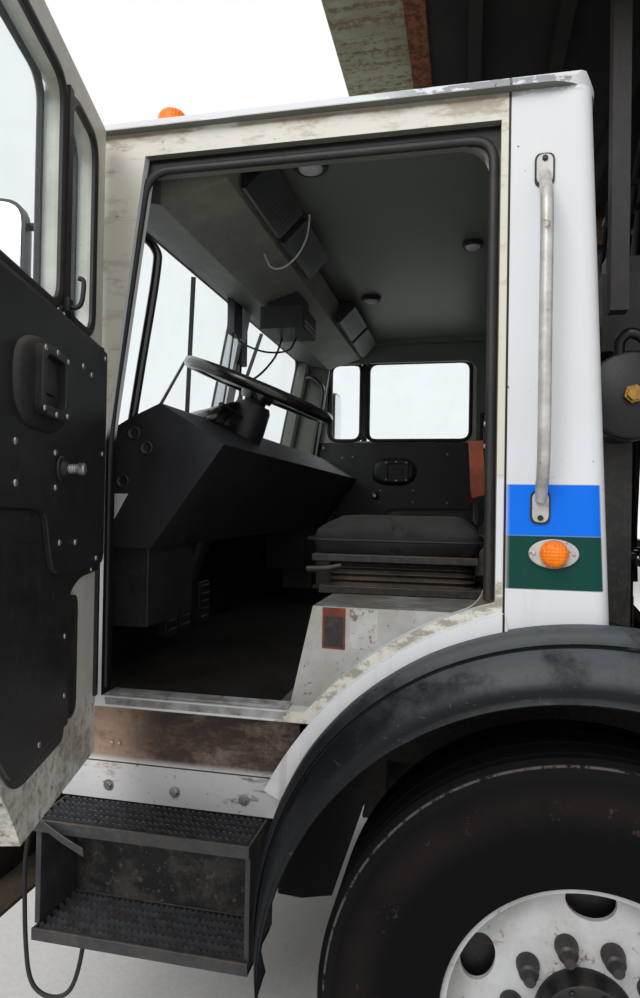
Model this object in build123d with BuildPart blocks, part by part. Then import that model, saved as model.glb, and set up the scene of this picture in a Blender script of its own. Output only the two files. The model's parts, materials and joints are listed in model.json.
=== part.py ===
# Front-loading garbage truck, built as a stack of separate pieces.
# Millimetres. X runs forward from the front axle, Y to the truck's left from its centre line,
# Z up. When the pieces are written, the whole is moved so that its origin is the bottom centre
# of its own box.
from math import acos, asin, atan2, cos, degrees, hypot, radians, sin, tan
import os

from build123d import *

# Clearances and walls
RUN = 0.3                 # a pin in its bore, or a seated piece beside its seat
MOVE = 8.0                # between panels that swing or slide past each other
PIN_STUB = 6.0            # door hinge pins

# Wheels and axles
HUB_Z = 515.0
TYRE_R = 538.0
TYRE_W = 315.0
RIM_R = 298.0
RIM_SEAT_R = 286.0
RIM_HALF = 118.0
RIM_FLANGE_IN = 109.0     # inner face of the rim flanges, from the rim's middle
WHEEL_FACE_Y = 1220.0     # outer sidewall of every outer tyre
TWIN_STEP = 335.0
WHEELBASE = 4900.0        # front axle to the middle of the tandem
TANDEM = 1320.0
HUB_R = 88.0
SPINDLE_R = 45.0
HAND_HOLES = 5
HAND_HOLE_AT = 226.0
HAND_HOLE_R = 31.0
KINGPIN_Y = 870.0
KINGPIN_R = 24.0

# Frame rails
RAIL_Y = 430.0            # outer face
RAIL_FLANGE = 85.0
RAIL_WEB = 9.0
RAIL_TOP = 1000.0
RAIL_DEPTH = 270.0
RAIL_FRONT = 1240.0
RAIL_REAR = -6880.0
EYE_R = 20.0              # towing eyes
EYE_THICK = 30.0

# Cab
CAB_Y = 1120.0            # outside of the side panels
CAB_WALL = 45.0
CAB_REAR = -45.0
REAR_LEAN = 47.0          # how far the cab's back leans forward at the eave
REAR_ROUND = 34.0         # rounding of the side panel's rear edge
CAB_NOSE = 1290.0         # front panel below the windscreen
ROOF_EAVE = 2410.0        # top of the side panels
ROOF_TOP = ROOF_EAVE + 45
ROOF_CROWN = 34.0
ROOF_ROUND = 110.0        # rounding of the roof's rear corners, seen from above
RAIL_DRIP = 22.0
SCREEN_TOP_X = 1165.0     # windscreen's upper edge
SCREEN_LOW_Z = 1690.0
SCREEN_TOP_Z = ROOF_EAVE - 80
FLOOR_TOP = 1075.0
FLOOR_THICK = 40.0
SKIRT_Z = 1050.0          # lower edge of the side panel's outer skin, under the sill
KICK_Y = 1020.0           # outer face of the recessed panel between sill and step
ARCH_CENTRE = (-40.0, 540.0)      # the arch is struck a little behind and above the wheel
ARCH_R = 761.0            # lower edge of the side panel and of its moulding
ARCH_TOP = ARCH_CENTRE[1] + ARCH_R
ARCH_FRONT = ARCH_CENTRE[0] + ARCH_R
ARCH_Z = ARCH_TOP - 21            # lowest edge of the panel behind the door
HOUSING_TOP = ARCH_TOP + 4        # wheel housings that carry the seats
HOUSING_FRONT = ARCH_FRONT - 131
MOULDING = 42.0           # width of the raised moulding along the arch
MOULDING_RISE = 12.0
DOOR_BACK = 185.0         # rear edge of the door opening
DOOR_FRONT = 1088.0       # front edge of the door opening
DOOR_HEAD = ROOF_EAVE - 57
OPENING_STEP = 22.0       # depth of the rebate that the door's trim closes into
OPENING_ROUND = 65.0      # corners of the opening behind the rebate

# Doors
HINGE_X = 1095.0
DOOR_REACH = 920.0
DOOR_LOW = 957.0
DOOR_TOP = ROOF_EAVE - 7
DOOR_WALL = 42.0
BELT_Z = 1885.0
GLASS_TOP = DOOR_TOP - 67
DOOR_ANGLE = 74.5         # how far the left door stands open
HINGE_HEIGHTS = (1150.0, 1620.0, DOOR_TOP - 223)
HINGE_Y = CAB_Y + MOVE + 22

# Load body
BODY_Y = 1100.0
BODY_WALL = 45.0
BODY_FRONT = -760.0
BODY_REAR = RAIL_REAR - 20
BODY_FLOOR_TOP = 1300.0
BODY_FLOOR_THICK = 60.0
BODY_TOP = 3850.0
HOPPER_TOP = 3100.0
HOPPER_SLOPE = -2500.0
HOPPER_REAR = -3100.0
SHIELD_FRONT = 680.0
SHIELD_LOW = 3000.0
SHIELD_THICK = 50.0
TAILGATE_DEPTH = 650.0

# Lifting arms, seen from the side in their lowered place and turned about their pivot
ARM_PIVOT_X = -950.0
ARM_PIVOT_Z = 1120.0
ARM_IN_Y = 1135.0
ARM_THICK = 85.0
ARM_DEPTH = 200.0
ARM_LOWERED = 54.0        # degrees from the stowed place down to the lowered one
FORK_LENGTH = 1600.0
FORK_Y = 900.0
FORK_THICK = 70.0
FORK_TUCK = 110.0         # fork's direction above the ground with the arms lowered
FORK_PIN_R = 40.0

LIFT_BASE = (-2300.0, 880.0)
LIFT_Y = RAIL_Y + 45 + RUN + 25       # lift cylinders, just outside their cranks

# Body cylinders that open the tailgate
TAIL_X = BODY_REAR - 10
TAIL_HINGE = (BODY_REAR - 5, BODY_TOP + 50)
TAIL_BASE = (-6050.0, 3300.0)
TAIL_PIN = (TAIL_X - 250.0, 2800.0)

pieces = []


def keep(piece, name):
    """Label a finished piece and put it on the list."""
    piece.label = name
    pieces.append(piece)


def block(x, y, z, mode=Mode.ADD):
    """A box between two corners, each axis given as (low, high)."""
    with Locations(((x[0] + x[1]) / 2, (y[0] + y[1]) / 2, (z[0] + z[1]) / 2)):
        Box(x[1] - x[0], y[1] - y[0], z[1] - z[0], mode=mode)


def side_plate(points, y, thick, mode=Mode.ADD):
    """A plate with a side outline of (x, z) points, from y inward (towards -Y)."""
    with BuildSketch(Plane.XZ.offset(-y)) as outline:
        with BuildLine():
            Polyline(*points, close=True)
        make_face()
    extrude(outline.sketch, amount=thick, mode=mode)


def cross_rod(x, z, r, y_low, y_high, mode=Mode.ADD):
    """A round bar along Y."""
    with Locations(Location((x, (y_low + y_high) / 2, z), (90, 0, 0))):
        Cylinder(r, y_high - y_low, mode=mode)


def upright(x, y, r, z_low, z_high, mode=Mode.ADD):
    """A round bar along Z."""
    with Locations((x, y, (z_low + z_high) / 2)):
        Cylinder(r, z_high - z_low, mode=mode)


def long_rod(y, z, r, x_low, x_high, mode=Mode.ADD):
    """A round bar along X."""
    with Locations(Location(((x_low + x_high) / 2, y, z), (0, 90, 0))):
        Cylinder(r, x_high - x_low, mode=mode)


def turned(x, z, points, centre_x=0.0, centre_z=0.0, angle=0.0):
    """(x, z) points turned by an angle about a centre, then moved."""
    c, s = cos(radians(angle)), sin(radians(angle))
    return [(x + c * (px - centre_x) - s * (pz - centre_z),
             z + s * (px - centre_x) + c * (pz - centre_z)) for px, pz in points]


def bar_between(a, b, depth, y, thick, mode=Mode.ADD):
    """A round-ended flat bar between two (x, z) points, from y inward."""
    length = hypot(b[0] - a[0], b[1] - a[1])
    with BuildSketch(Plane.XZ.offset(-y)) as outline:
        with Locations(((a[0] + b[0]) / 2, (a[1] + b[1]) / 2)):
            SlotCenterToCenter(length, depth, rotation=degrees(atan2(b[1] - a[1], b[0] - a[0])))
    extrude(outline.sketch, amount=thick, mode=mode)


# Frame: two channel rails, with everything that joins them seated against their webs and ends
SPRING_Y = RAIL_Y - RAIL_FLANGE / 2
ARM_TUBE_R = 80.0
CROSS_MEMBERS = (RAIL_FRONT - 50, ARM_PIVOT_X - 300, ARM_PIVOT_X - 850, HOPPER_REAR, -WHEELBASE, RAIL_REAR + 580)
TAIL_PLATE = 20.0
REAR_EYE_Y = 360.0
with BuildPart() as rails:
    block((RAIL_REAR, RAIL_FRONT), (RAIL_Y - RAIL_FLANGE, RAIL_Y), (RAIL_TOP - RAIL_DEPTH, RAIL_TOP))
    block((RAIL_REAR - 1, RAIL_FRONT + 1), (RAIL_Y - RAIL_FLANGE - 1, RAIL_Y - RAIL_WEB),
          (RAIL_TOP - RAIL_DEPTH + RAIL_WEB, RAIL_TOP - RAIL_WEB), mode=Mode.SUBTRACT)
    mirror(about=Plane.XZ)
with BuildPart() as cross_members:
    member_y = RAIL_Y - RAIL_WEB - RUN
    for cross_x in CROSS_MEMBERS:
        block((cross_x - 40, cross_x + 40), (-member_y, member_y), (RAIL_TOP - 100, RAIL_TOP - 25))
# Bearings of the arms' cross tube, standing on the rails
with BuildPart() as arm_bearings:
    for side in (-1, 1):
        block((ARM_PIVOT_X - 130, ARM_PIVOT_X + 130), (side * SPRING_Y - 40, side * SPRING_Y + 40),
              (RAIL_TOP + RUN, ARM_PIVOT_Z + 105))
    cross_rod(ARM_PIVOT_X, ARM_PIVOT_Z, ARM_TUBE_R + RUN, -RAIL_Y - 50, RAIL_Y + 50, mode=Mode.SUBTRACT)
# Brackets for the feet of the lift cylinders
with BuildPart() as lift_brackets:
    for side in (-1, 1):
        block((LIFT_BASE[0] - 60, LIFT_BASE[0] + 15), sorted((side * (RAIL_Y + RUN), side * (LIFT_Y - 25 - RUN))),
              (LIFT_BASE[1] - 45, LIFT_BASE[1] + 45))
# Tail plate with the two rear towing eyes
with BuildPart() as tail_plate:
    block((RAIL_REAR - TAIL_PLATE, RAIL_REAR - RUN), (-1000, 1000), (760, 960))
    for side in (-1, 1):
        eye_y = (side * REAR_EYE_Y - EYE_THICK / 2, side * REAR_EYE_Y + EYE_THICK / 2)
        block((RAIL_REAR - 110, RAIL_REAR - TAIL_PLATE + 1), eye_y, (790, 900))
        cross_rod(RAIL_REAR - 70, 845, EYE_R, eye_y[0] - 1, eye_y[1] + 1, mode=Mode.SUBTRACT)
keep(rails.part + cross_members.part + arm_bearings.part + lift_brackets.part + tail_plate.part, "frame_rails")

BUMPER_FACE = CAB_NOSE + 160.0
BUMPER_LOW = 520.0
BUMPER_HIGH = 830.0
BUMPER_Y = 1215.0
FRONT_EYE_Y = 380.0
with BuildPart() as front_bumper:
    with BuildSketch(Plane.XY.offset(BUMPER_LOW)):
        with BuildLine():
            Polyline((CAB_NOSE + 50, -BUMPER_Y), (BUMPER_FACE - 90, -BUMPER_Y), (BUMPER_FACE, -BUMPER_Y + 155),
                     (BUMPER_FACE, BUMPER_Y - 155), (BUMPER_FACE - 90, BUMPER_Y), (CAB_NOSE + 50, BUMPER_Y),
                     close=True)
        make_face()
    extrude(amount=BUMPER_HIGH - BUMPER_LOW)
    block((CAB_NOSE, BUMPER_FACE - 10), (-BUMPER_Y + 35, BUMPER_Y - 35), (BUMPER_LOW + 10, BUMPER_HIGH - 10),
          mode=Mode.SUBTRACT)
    block((RAIL_FRONT + RUN, BUMPER_FACE - 5), (-RAIL_Y, RAIL_Y), (640, 780))
    for side in (-1, 1):
        eye_y = (side * FRONT_EYE_Y - EYE_THICK / 2, side * FRONT_EYE_Y + EYE_THICK / 2)
        block((BUMPER_FACE - 10, BUMPER_FACE + 85), eye_y, (600, 700))
        cross_rod(BUMPER_FACE + 45, 650, EYE_R, eye_y[0] - 1, eye_y[1] + 1, mode=Mode.SUBTRACT)
keep(front_bumper.part, "front_bumper")

# Front axle beam, dropped between the springs, with a boss for each kingpin
BEAM_Z = 430.0
with BuildPart() as axles:
    block((-55, 55), (-480, 480), (BEAM_Z - 60, BEAM_Z + 60))
    block((-56, -22), (-440, 440), (BEAM_Z - 38, BEAM_Z + 38), mode=Mode.SUBTRACT)
    block((22, 56), (-440, 440), (BEAM_Z - 38, BEAM_Z + 38), mode=Mode.SUBTRACT)
    for side in (-1, 1):
        with BuildSketch(Plane.YZ.offset(-50)):
            with BuildLine():
                Polyline((side * 470, BEAM_Z - 60), (side * KINGPIN_Y, HUB_Z - 45),
                         (side * KINGPIN_Y, HUB_Z + 45), (side * 470, BEAM_Z + 60), close=True)
            make_face()
        extrude(amount=100)
        upright(0, side * KINGPIN_Y, 52, HUB_Z - 70, HUB_Z + 70)
        upright(0, side * KINGPIN_Y, KINGPIN_R + RUN, HUB_Z - 71, HUB_Z + 71, mode=Mode.SUBTRACT)

# Leaf springs: a few leaves under each rail, in front and over the tandem
LEAF = 16.0
LEAVES = [  # axle x, half length, height of the stack, lowest leaf z
    (0.0, 560.0, 64.0, BEAM_Z + 60.0 + RUN),
    (-WHEELBASE, 560.0, 96.0, HUB_Z + 58.0 + RUN),
]
with BuildPart() as springs:
    for axle_x, half, stack, low in LEAVES:
        leaves = round(stack / LEAF)
        for side in (-1, 1):
            y = (side * SPRING_Y - 38, side * SPRING_Y + 38)
            for leaf in range(leaves):
                reach = half * (0.45 + 0.55 * (leaf + 1) / leaves)
                block((axle_x - reach, axle_x + reach), y, (low + LEAF * leaf, low + LEAF * (leaf + 1)))
            top = low + LEAF * leaves
            for end in (-1, 1):
                hanger = axle_x + end * (half - 40)
                block((hanger - 35, hanger + 35), y, (top, RAIL_TOP - RAIL_DEPTH - RUN))
            block((axle_x - 60, axle_x + 60), y, (top, top + 30))

# Rear axles: two housings with their differentials and the beams that join them
REAR_AXLES = [-WHEELBASE + TANDEM / 2, -WHEELBASE - TANDEM / 2]
REAR_HUB_Y = WHEEL_FACE_Y - TYRE_W - (TWIN_STEP - TYRE_W) / 2     # between the twin tyres
with BuildPart() as rear_axles:
    for axle_x in REAR_AXLES:
        cross_rod(axle_x, HUB_Z, 65, -540, 540)
        cross_rod(axle_x, HUB_Z, SPINDLE_R, -REAR_HUB_Y - 150, REAR_HUB_Y + 150)
        with Locations((axle_x, 0, HUB_Z)):
            Sphere(205)
        long_rod(0, HUB_Z, 90, axle_x + 120, axle_x + 330)
    for side in (-1, 1):
        block((REAR_AXLES[1] - 90, REAR_AXLES[0] + 90), (side * SPRING_Y - 45, side * SPRING_Y + 45),
              (HUB_Z - 50, HUB_Z + 58))
keep(axles.part + springs.part + rear_axles.part, "axles")

# Engine, gearbox and shafts, one plain mass each on the truck's centre line
with BuildPart() as drive_line:
    block((-420, 760), (-330, 330), (700, 995))
    block((-430, 760), (-250, 250), (560, 700))
    long_rod(0, 760, 230, -1150, -420)
    for x_low, x_high in ((REAR_AXLES[0] + 335, -1155), (REAR_AXLES[1] + 330 + RUN, REAR_AXLES[0] - 205 - RUN)):
        if x_low > REAR_AXLES[0]:
            with BuildSketch(Plane(origin=(x_high, 0, 760),
                                   z_dir=(x_low - x_high, 0, HUB_Z - 760))):
                Circle(55)
            extrude(amount=hypot(x_low - x_high, HUB_Z - 760))
        else:
            long_rod(0, HUB_Z, 55, x_low, x_high)
keep(drive_line.part, "drive_line")

# Tanks hung outside the rails
with BuildPart() as tanks:
    with BuildSketch(Plane.YZ.offset(-2750)):
        with Locations((825, 840)):
            RectangleRounded(530, 520, 90)
    extrude(amount=1150)
    for strap in (-2600, -1800):
        block((strap - 30, strap + 30), (RAIL_Y + RUN, 565), (740, 780))
    for tank_z in (690.0, 920.0):
        long_rod(-800, tank_z, 105, -2700, -1700)
    for strap in (-2500, -1900):
        block((strap - 25, strap + 25), (-800, -RAIL_Y - RUN), (740, 790))
        block((strap - 25, strap + 25), (-800, -700), (660, 950))

# Hydraulic tank across the truck behind the cab, on two posts
HYD_X = -190.0
HYD_Z = 1850.0
HYD_R = 118.0
HYD_END = 600.0
with BuildPart() as hydraulic_tank:
    cross_rod(HYD_X, HYD_Z, HYD_R, -HYD_END, HYD_END)
    cross_rod(HYD_X, HYD_Z, 22, HYD_END - 1, HYD_END + 25)
    for post_y in (-SPRING_Y, SPRING_Y):
        block((HYD_X - 40, HYD_X + 40), (post_y - 38, post_y + 38), (RAIL_TOP + RUN, HYD_Z - 90))
keep(tanks.part + hydraulic_tank.part, "tanks")

STACK_X = -400.0
STACK_Y = -940.0
STACK_R = 62.0
STACK_TOP = SHIELD_LOW + 250
MUFFLER_R = 110.0
MUFFLER = (1320.0, SHIELD_LOW - 500)
with BuildPart() as exhaust:
    upright(STACK_X, STACK_Y, MUFFLER_R, *MUFFLER)
    upright(STACK_X, STACK_Y, STACK_R, MUFFLER[0] - 140, STACK_TOP)
    upright(STACK_X, STACK_Y, STACK_R - 7, STACK_TOP - 5, STACK_TOP + 1, mode=Mode.SUBTRACT)
    block((STACK_X - 30, STACK_X + 30), (STACK_Y, -RAIL_Y - RUN), (RAIL_TOP + 100, RAIL_TOP + 180))
    block((STACK_X - 30, STACK_X + 30), (-RAIL_Y - 60, -RAIL_Y - RUN), (RAIL_TOP - 100, RAIL_TOP + 180))
keep(exhaust.part, "exhaust")


# Cab
STEP_TOP = 785.0


def screen_x(z):
    """The windscreen's outer face: it leans back above its lower edge."""
    return CAB_NOSE + (SCREEN_TOP_X - CAB_NOSE) * (z - SCREEN_LOW_Z) / (SCREEN_TOP_Z - SCREEN_LOW_Z)


def back_x(z):
    """The outer face of the cab's back: upright behind the arch, leaning forward above it."""
    return CAB_REAR + REAR_LEAN * max(z - ARCH_Z, 0) / (ROOF_EAVE - ARCH_Z)


def arch_point(radius, angle, centre=ARCH_CENTRE):
    """A point on a circle about the arch's centre, at an angle above straight ahead."""
    return centre[0] + radius * cos(radians(angle)), centre[1] + radius * sin(radians(angle))


def arch_at_z(radius, z):
    """The circle's angle where it crosses a height, in front of its centre."""
    return degrees(asin((z - ARCH_CENTRE[1]) / radius))


PANEL_ARCH = (arch_at_z(ARCH_R, 880.0), 75.0)        # the panel's edge on the arch, low and high end
OPENING_R = ARCH_R + MOULDING + 24                   # the door opening's lower rear edge
DOOR_ARCH_R = ARCH_R + MOULDING + MOVE               # the door's own edge over the moulding


def opening_outline(back, head, front):
    """The door opening's outline: rear edge, head and front edge, over the sill and the arch."""
    sill_angle = arch_at_z(OPENING_R, FLOOR_TOP)
    back_angle = degrees(acos((back - ARCH_CENTRE[0]) / OPENING_R))
    Polyline(arch_point(OPENING_R, back_angle), (back, head), (front - 88, head), (front, SCREEN_LOW_Z - 10),
             (front, FLOOR_TOP), arch_point(OPENING_R, sill_angle))
    ThreePointArc(arch_point(OPENING_R, sill_angle), arch_point(OPENING_R, (sill_angle + back_angle) / 2),
                  arch_point(OPENING_R, back_angle))


with BuildPart() as cab_sides:
    eave_x = screen_x(ROOF_EAVE)
    skirt_angle = arch_at_z(ARCH_R + MOULDING, SKIRT_Z)
    with BuildSketch(Plane.XZ.offset(-CAB_Y)):
        with BuildLine():
            Polyline(arch_point(ARCH_R, PANEL_ARCH[0]), arch_point(ARCH_R + MOULDING, PANEL_ARCH[0]))
            ThreePointArc(arch_point(ARCH_R + MOULDING, PANEL_ARCH[0]),
                          arch_point(ARCH_R + MOULDING, (PANEL_ARCH[0] + skirt_angle) / 2),
                          arch_point(ARCH_R + MOULDING, skirt_angle))
            Polyline(arch_point(ARCH_R + MOULDING, skirt_angle), (CAB_NOSE - 2, SKIRT_Z),
                     (CAB_NOSE - 2, SCREEN_LOW_Z), (eave_x - 2, ROOF_EAVE), (back_x(ROOF_EAVE), ROOF_EAVE),
                     (CAB_REAR, ARCH_Z), arch_point(ARCH_R, PANEL_ARCH[1]))
            ThreePointArc(arch_point(ARCH_R, PANEL_ARCH[1]), arch_point(ARCH_R, sum(PANEL_ARCH) / 2),
                          arch_point(ARCH_R, PANEL_ARCH[0]))
        make_face()
    extrude(amount=CAB_WALL)
    rear_edge = [edge for edge in cab_sides.edges()
                 if abs(edge.center().X - back_x((ARCH_Z + ROOF_EAVE) / 2)) < 1 and abs(edge.center().Y - CAB_Y) < 1]
    fillet(rear_edge, REAR_ROUND)
    # The door opening: a rebate, then a smaller opening with round upper corners
    with BuildSketch(Plane.XZ.offset(-CAB_Y - 1)):
        with BuildLine() as edge:
            opening_outline(DOOR_BACK, DOOR_HEAD, DOOR_FRONT)
        make_face(edge.edges())
    extrude(amount=OPENING_STEP + 1, mode=Mode.SUBTRACT)
    with BuildSketch(Plane.XZ.offset(-CAB_Y)) as doorway:
        with BuildLine() as edge:
            opening_outline(DOOR_BACK + 22, DOOR_HEAD - 37, DOOR_FRONT)
        make_face(edge.edges())
        fillet(doorway.vertices().sort_by(Axis.Z)[-2:], OPENING_ROUND)
    extrude(amount=CAB_WALL + 1, mode=Mode.SUBTRACT)
    # Raised moulding along the arch
    with BuildSketch(Plane.XZ.offset(-CAB_Y)):
        with BuildLine():
            low, high = PANEL_ARCH
            ThreePointArc(arch_point(ARCH_R, low), arch_point(ARCH_R, (low + high) / 2), arch_point(ARCH_R, high))
            Line(arch_point(ARCH_R, high), arch_point(ARCH_R + MOULDING, high))
            ThreePointArc(arch_point(ARCH_R + MOULDING, high),
                          arch_point(ARCH_R + MOULDING, (low + high) / 2),
                          arch_point(ARCH_R + MOULDING, low))
            Line(arch_point(ARCH_R + MOULDING, low), arch_point(ARCH_R, low))
        make_face()
    extrude(amount=-MOULDING_RISE)
    # Lower hinge halves, each a ledge with a pin that stands in the door's knuckle
    for hinge_z in HINGE_HEIGHTS:
        block((HINGE_X + 6, HINGE_X + 24), (CAB_Y - 1, HINGE_Y + 3), (hinge_z - 50 - MOVE - 8, hinge_z - 50 - MOVE))
        upright(HINGE_X + 12, HINGE_Y, PIN_STUB, hinge_z - 50 - MOVE - 1, hinge_z - 15)
    mirror(about=Plane.XZ)
keep(cab_sides.part, "cab_sides")

INNER_Y = CAB_Y - CAB_WALL - RUN
with BuildPart() as cab_floor:
    block((CAB_REAR, CAB_NOSE - 40), (-INNER_Y, INNER_Y), (FLOOR_TOP - FLOOR_THICK, FLOOR_TOP))
    # Wheel housings rise through the floor behind the doors
    for y in ((700, INNER_Y + 1), (-INNER_Y - 1, -700)):
        block((CAB_REAR - 1, HOUSING_FRONT), y, (FLOOR_TOP - FLOOR_THICK - 1, FLOOR_TOP + 1), mode=Mode.SUBTRACT)
    for side in (-1, 1):
        with BuildSketch(Plane.XZ.offset(-(INNER_Y if side > 0 else -650))):
            with BuildLine():
                Polyline((CAB_REAR, HOUSING_TOP - 45), (HOUSING_FRONT - 390, HOUSING_TOP - 45),
                         (HOUSING_FRONT - 140, HOUSING_TOP - 105), (HOUSING_FRONT, FLOOR_TOP),
                         (HOUSING_FRONT, FLOOR_TOP - FLOOR_THICK), (HOUSING_FRONT + 55, FLOOR_TOP - FLOOR_THICK),
                         (HOUSING_FRONT - 4, HOUSING_TOP), (CAB_REAR, HOUSING_TOP), close=True)
            make_face()
        extrude(amount=INNER_Y - 650)
        block((CAB_REAR, HOUSING_FRONT + 20), (side * 675 - 25, side * 675 + 25), (FLOOR_TOP - 5, HOUSING_TOP - 2))
    # Kick panels under the floor's edges, recessed behind the steps
    for side in (-1, 1):
        block((HOUSING_FRONT + 35, CAB_NOSE - 40), sorted((side * (KICK_Y - 15), side * KICK_Y)),
              (STEP_TOP + RUN, FLOOR_TOP - 1))
    # Cab's cross members on the frame
    for member_x in (60.0, 1180.0):
        block((member_x - 40, member_x + 40), (-RAIL_Y, RAIL_Y), (RAIL_TOP + RUN, FLOOR_TOP - FLOOR_THICK))
keep(cab_floor.part, "cab_floor")

with BuildPart() as cab_roof:
    eave = ROOF_EAVE + RUN
    roof_front = screen_x(ROOF_EAVE) + 10
    with BuildSketch(Plane.YZ.offset(CAB_REAR - 12)):
        with BuildLine():
            Polyline((-CAB_Y - RAIL_DRIP, eave), (CAB_Y + RAIL_DRIP, eave), (CAB_Y + RAIL_DRIP, eave + 14),
                     (CAB_Y + 4, eave + 18), (CAB_Y - 6, ROOF_TOP - 12), (CAB_Y - 50, ROOF_TOP))
            ThreePointArc((CAB_Y - 50, ROOF_TOP), (0, ROOF_TOP + ROOF_CROWN), (-CAB_Y + 50, ROOF_TOP))
            Polyline((-CAB_Y + 50, ROOF_TOP), (-CAB_Y + 6, ROOF_TOP - 12), (-CAB_Y - 4, eave + 18),
                     (-CAB_Y - RAIL_DRIP, eave + 14), (-CAB_Y - RAIL_DRIP, eave))
        make_face()
    extrude(amount=roof_front - CAB_REAR + 12)
    # Seen from above the rear corners are round, and the crown falls to the rear edge
    roof_back = back_x(ROOF_EAVE) - 12
    roof_y = CAB_Y + RAIL_DRIP
    with BuildSketch(Plane.XY.offset(eave - 1)) as plan:
        with Locations(((roof_back + roof_front) / 2, 0)):
            Rectangle(roof_front - roof_back, 2 * roof_y)
        fillet(plan.vertices().sort_by(Axis.X)[:2], ROOF_ROUND)
    extrude(amount=ROOF_TOP + ROOF_CROWN - eave + 2, mode=Mode.INTERSECT)
    roof_high = ROOF_TOP + ROOF_CROWN + 1
    side_plate([(roof_back - 1, eave + 16), (roof_back + 12, eave + 20), (roof_back + 26, ROOF_TOP - 8),
                (roof_back + 60, ROOF_TOP + 6), (roof_back + 180, roof_high), (roof_back - 1, roof_high)],
               roof_y + 1, 2 * roof_y + 2, mode=Mode.SUBTRACT)
    block((roof_back + 72, roof_front - 70), (-CAB_Y + 90, CAB_Y - 90), (eave - 1, ROOF_TOP - 22),
          mode=Mode.SUBTRACT)
keep(cab_roof.part, "cab_roof")

BACK_WINDOW = (ROOF_EAVE - 580, ROOF_EAVE - 210)
BACK_WINDOW_Y = 420.0
with BuildPart() as cab_back:
    low, high = HOUSING_TOP + RUN, ROOF_EAVE
    side_plate([(back_x(low), low), (back_x(high), high), (back_x(high) + CAB_WALL, high),
                (back_x(low) + CAB_WALL, low)], INNER_Y, 2 * INNER_Y)
    block((back_x(low), back_x(low) + CAB_WALL), (-645, 645), (FLOOR_TOP + RUN, HOUSING_TOP + 2))
    block((CAB_REAR - 1, CAB_REAR + REAR_LEAN + CAB_WALL + 1), (-BACK_WINDOW_Y, BACK_WINDOW_Y), BACK_WINDOW,
          mode=Mode.SUBTRACT)
keep(cab_back.part, "cab_back")

NOSE_LOW = 860.0
with BuildPart() as cab_front:
    with BuildSketch(Plane.XZ.offset(-INNER_Y)):
        with BuildLine():
            Polyline((CAB_NOSE, NOSE_LOW), (CAB_NOSE, SCREEN_LOW_Z), (screen_x(ROOF_EAVE), ROOF_EAVE),
                     (screen_x(ROOF_EAVE) - 50, ROOF_EAVE), (CAB_NOSE - 50, SCREEN_LOW_Z - 20),
                     (CAB_NOSE - 38, SCREEN_LOW_Z - 40), (CAB_NOSE - 38, NOSE_LOW), close=True)
        make_face()
    extrude(amount=2 * INNER_Y)
    # Two windscreen openings with the division bar between them
    for side in (-1, 1):
        block((SCREEN_TOP_X - 120, CAB_NOSE + 60), (side * 525 - 485, side * 525 + 485),
              (SCREEN_LOW_Z + 40, SCREEN_TOP_Z - 10), mode=Mode.SUBTRACT)
    # Radiator grille: slots in the nose, closed behind by the fire wall
    for slot in range(7):
        block((CAB_NOSE - 22, CAB_NOSE + 20), (-430, 430), (1000 + 62 * slot, 1030 + 62 * slot),
              mode=Mode.SUBTRACT)
keep(cab_front.part, "cab_front")

with BuildPart() as cab_glass:
    for side in (-1, 1):
        with BuildSketch(Plane.XZ.offset(-(side * 525 + 485 - RUN))):
            with BuildLine():
                low, high = SCREEN_LOW_Z + 40 + RUN, SCREEN_TOP_Z - 10 - RUN
                Polyline((screen_x(low) - 20, low), (screen_x(high) - 20, high),
                         (screen_x(high) - 27, high), (screen_x(low) - 27, low), close=True)
            make_face()
        extrude(amount=970 - 2 * RUN)
    low, high = BACK_WINDOW[0] + RUN, BACK_WINDOW[1] - RUN
    side_plate([(back_x(low) + 18, low), (back_x(high) + 18, high), (back_x(high) + 25, high),
                (back_x(low) + 25, low)], BACK_WINDOW_Y - RUN, 2 * (BACK_WINDOW_Y - RUN))
keep(cab_glass.part, "cab_glass")

WHEEL_TILT = Plane(origin=(905, 500, 1900), z_dir=(-200, 0, 500))
with BuildPart() as dash:
    with BuildSketch(Plane.XZ.offset(-INNER_Y + 60)):
        with BuildLine():
            Polyline((CAB_NOSE - 38 - RUN, 1420), (CAB_NOSE - 38 - RUN, 1645), (CAB_NOSE - 65, 1668),
                     (1080, 1750), (1000, 1785), (830, 1680), (1020, 1420), close=True)
        make_face()
    extrude(amount=2 * INNER_Y - 120)
    # Steering column
    with BuildSketch(WHEEL_TILT.offset(-34 - RUN)):
        Circle(36)
    extrude(amount=-620)
    # Pedals
    for pedal_y in (400.0, 560.0, 660.0):
        block((1130, 1150), (pedal_y - 40, pedal_y + 40), (FLOOR_TOP + 60, FLOOR_TOP + 190))
        block((1150, CAB_NOSE - 38 - RUN), (pedal_y - 10, pedal_y + 10), (FLOOR_TOP + 150, FLOOR_TOP + 175))

# Hand wheel, tilted to face the driver
with BuildPart() as steering_wheel:
    with BuildSketch(WHEEL_TILT.offset(-14)):
        Circle(255)
        Circle(224, mode=Mode.SUBTRACT)
    extrude(amount=28)
    with BuildSketch(WHEEL_TILT.offset(-10)):
        for spoke in range(4):
            with PolarLocations(125, 1, start_angle=45 + 90 * spoke):
                Rectangle(215, 34)
    extrude(amount=12)
    with BuildSketch(WHEEL_TILT.offset(-34)):
        Circle(50)
    extrude(amount=52)
keep(steering_wheel.part, "steering_wheel")

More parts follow.
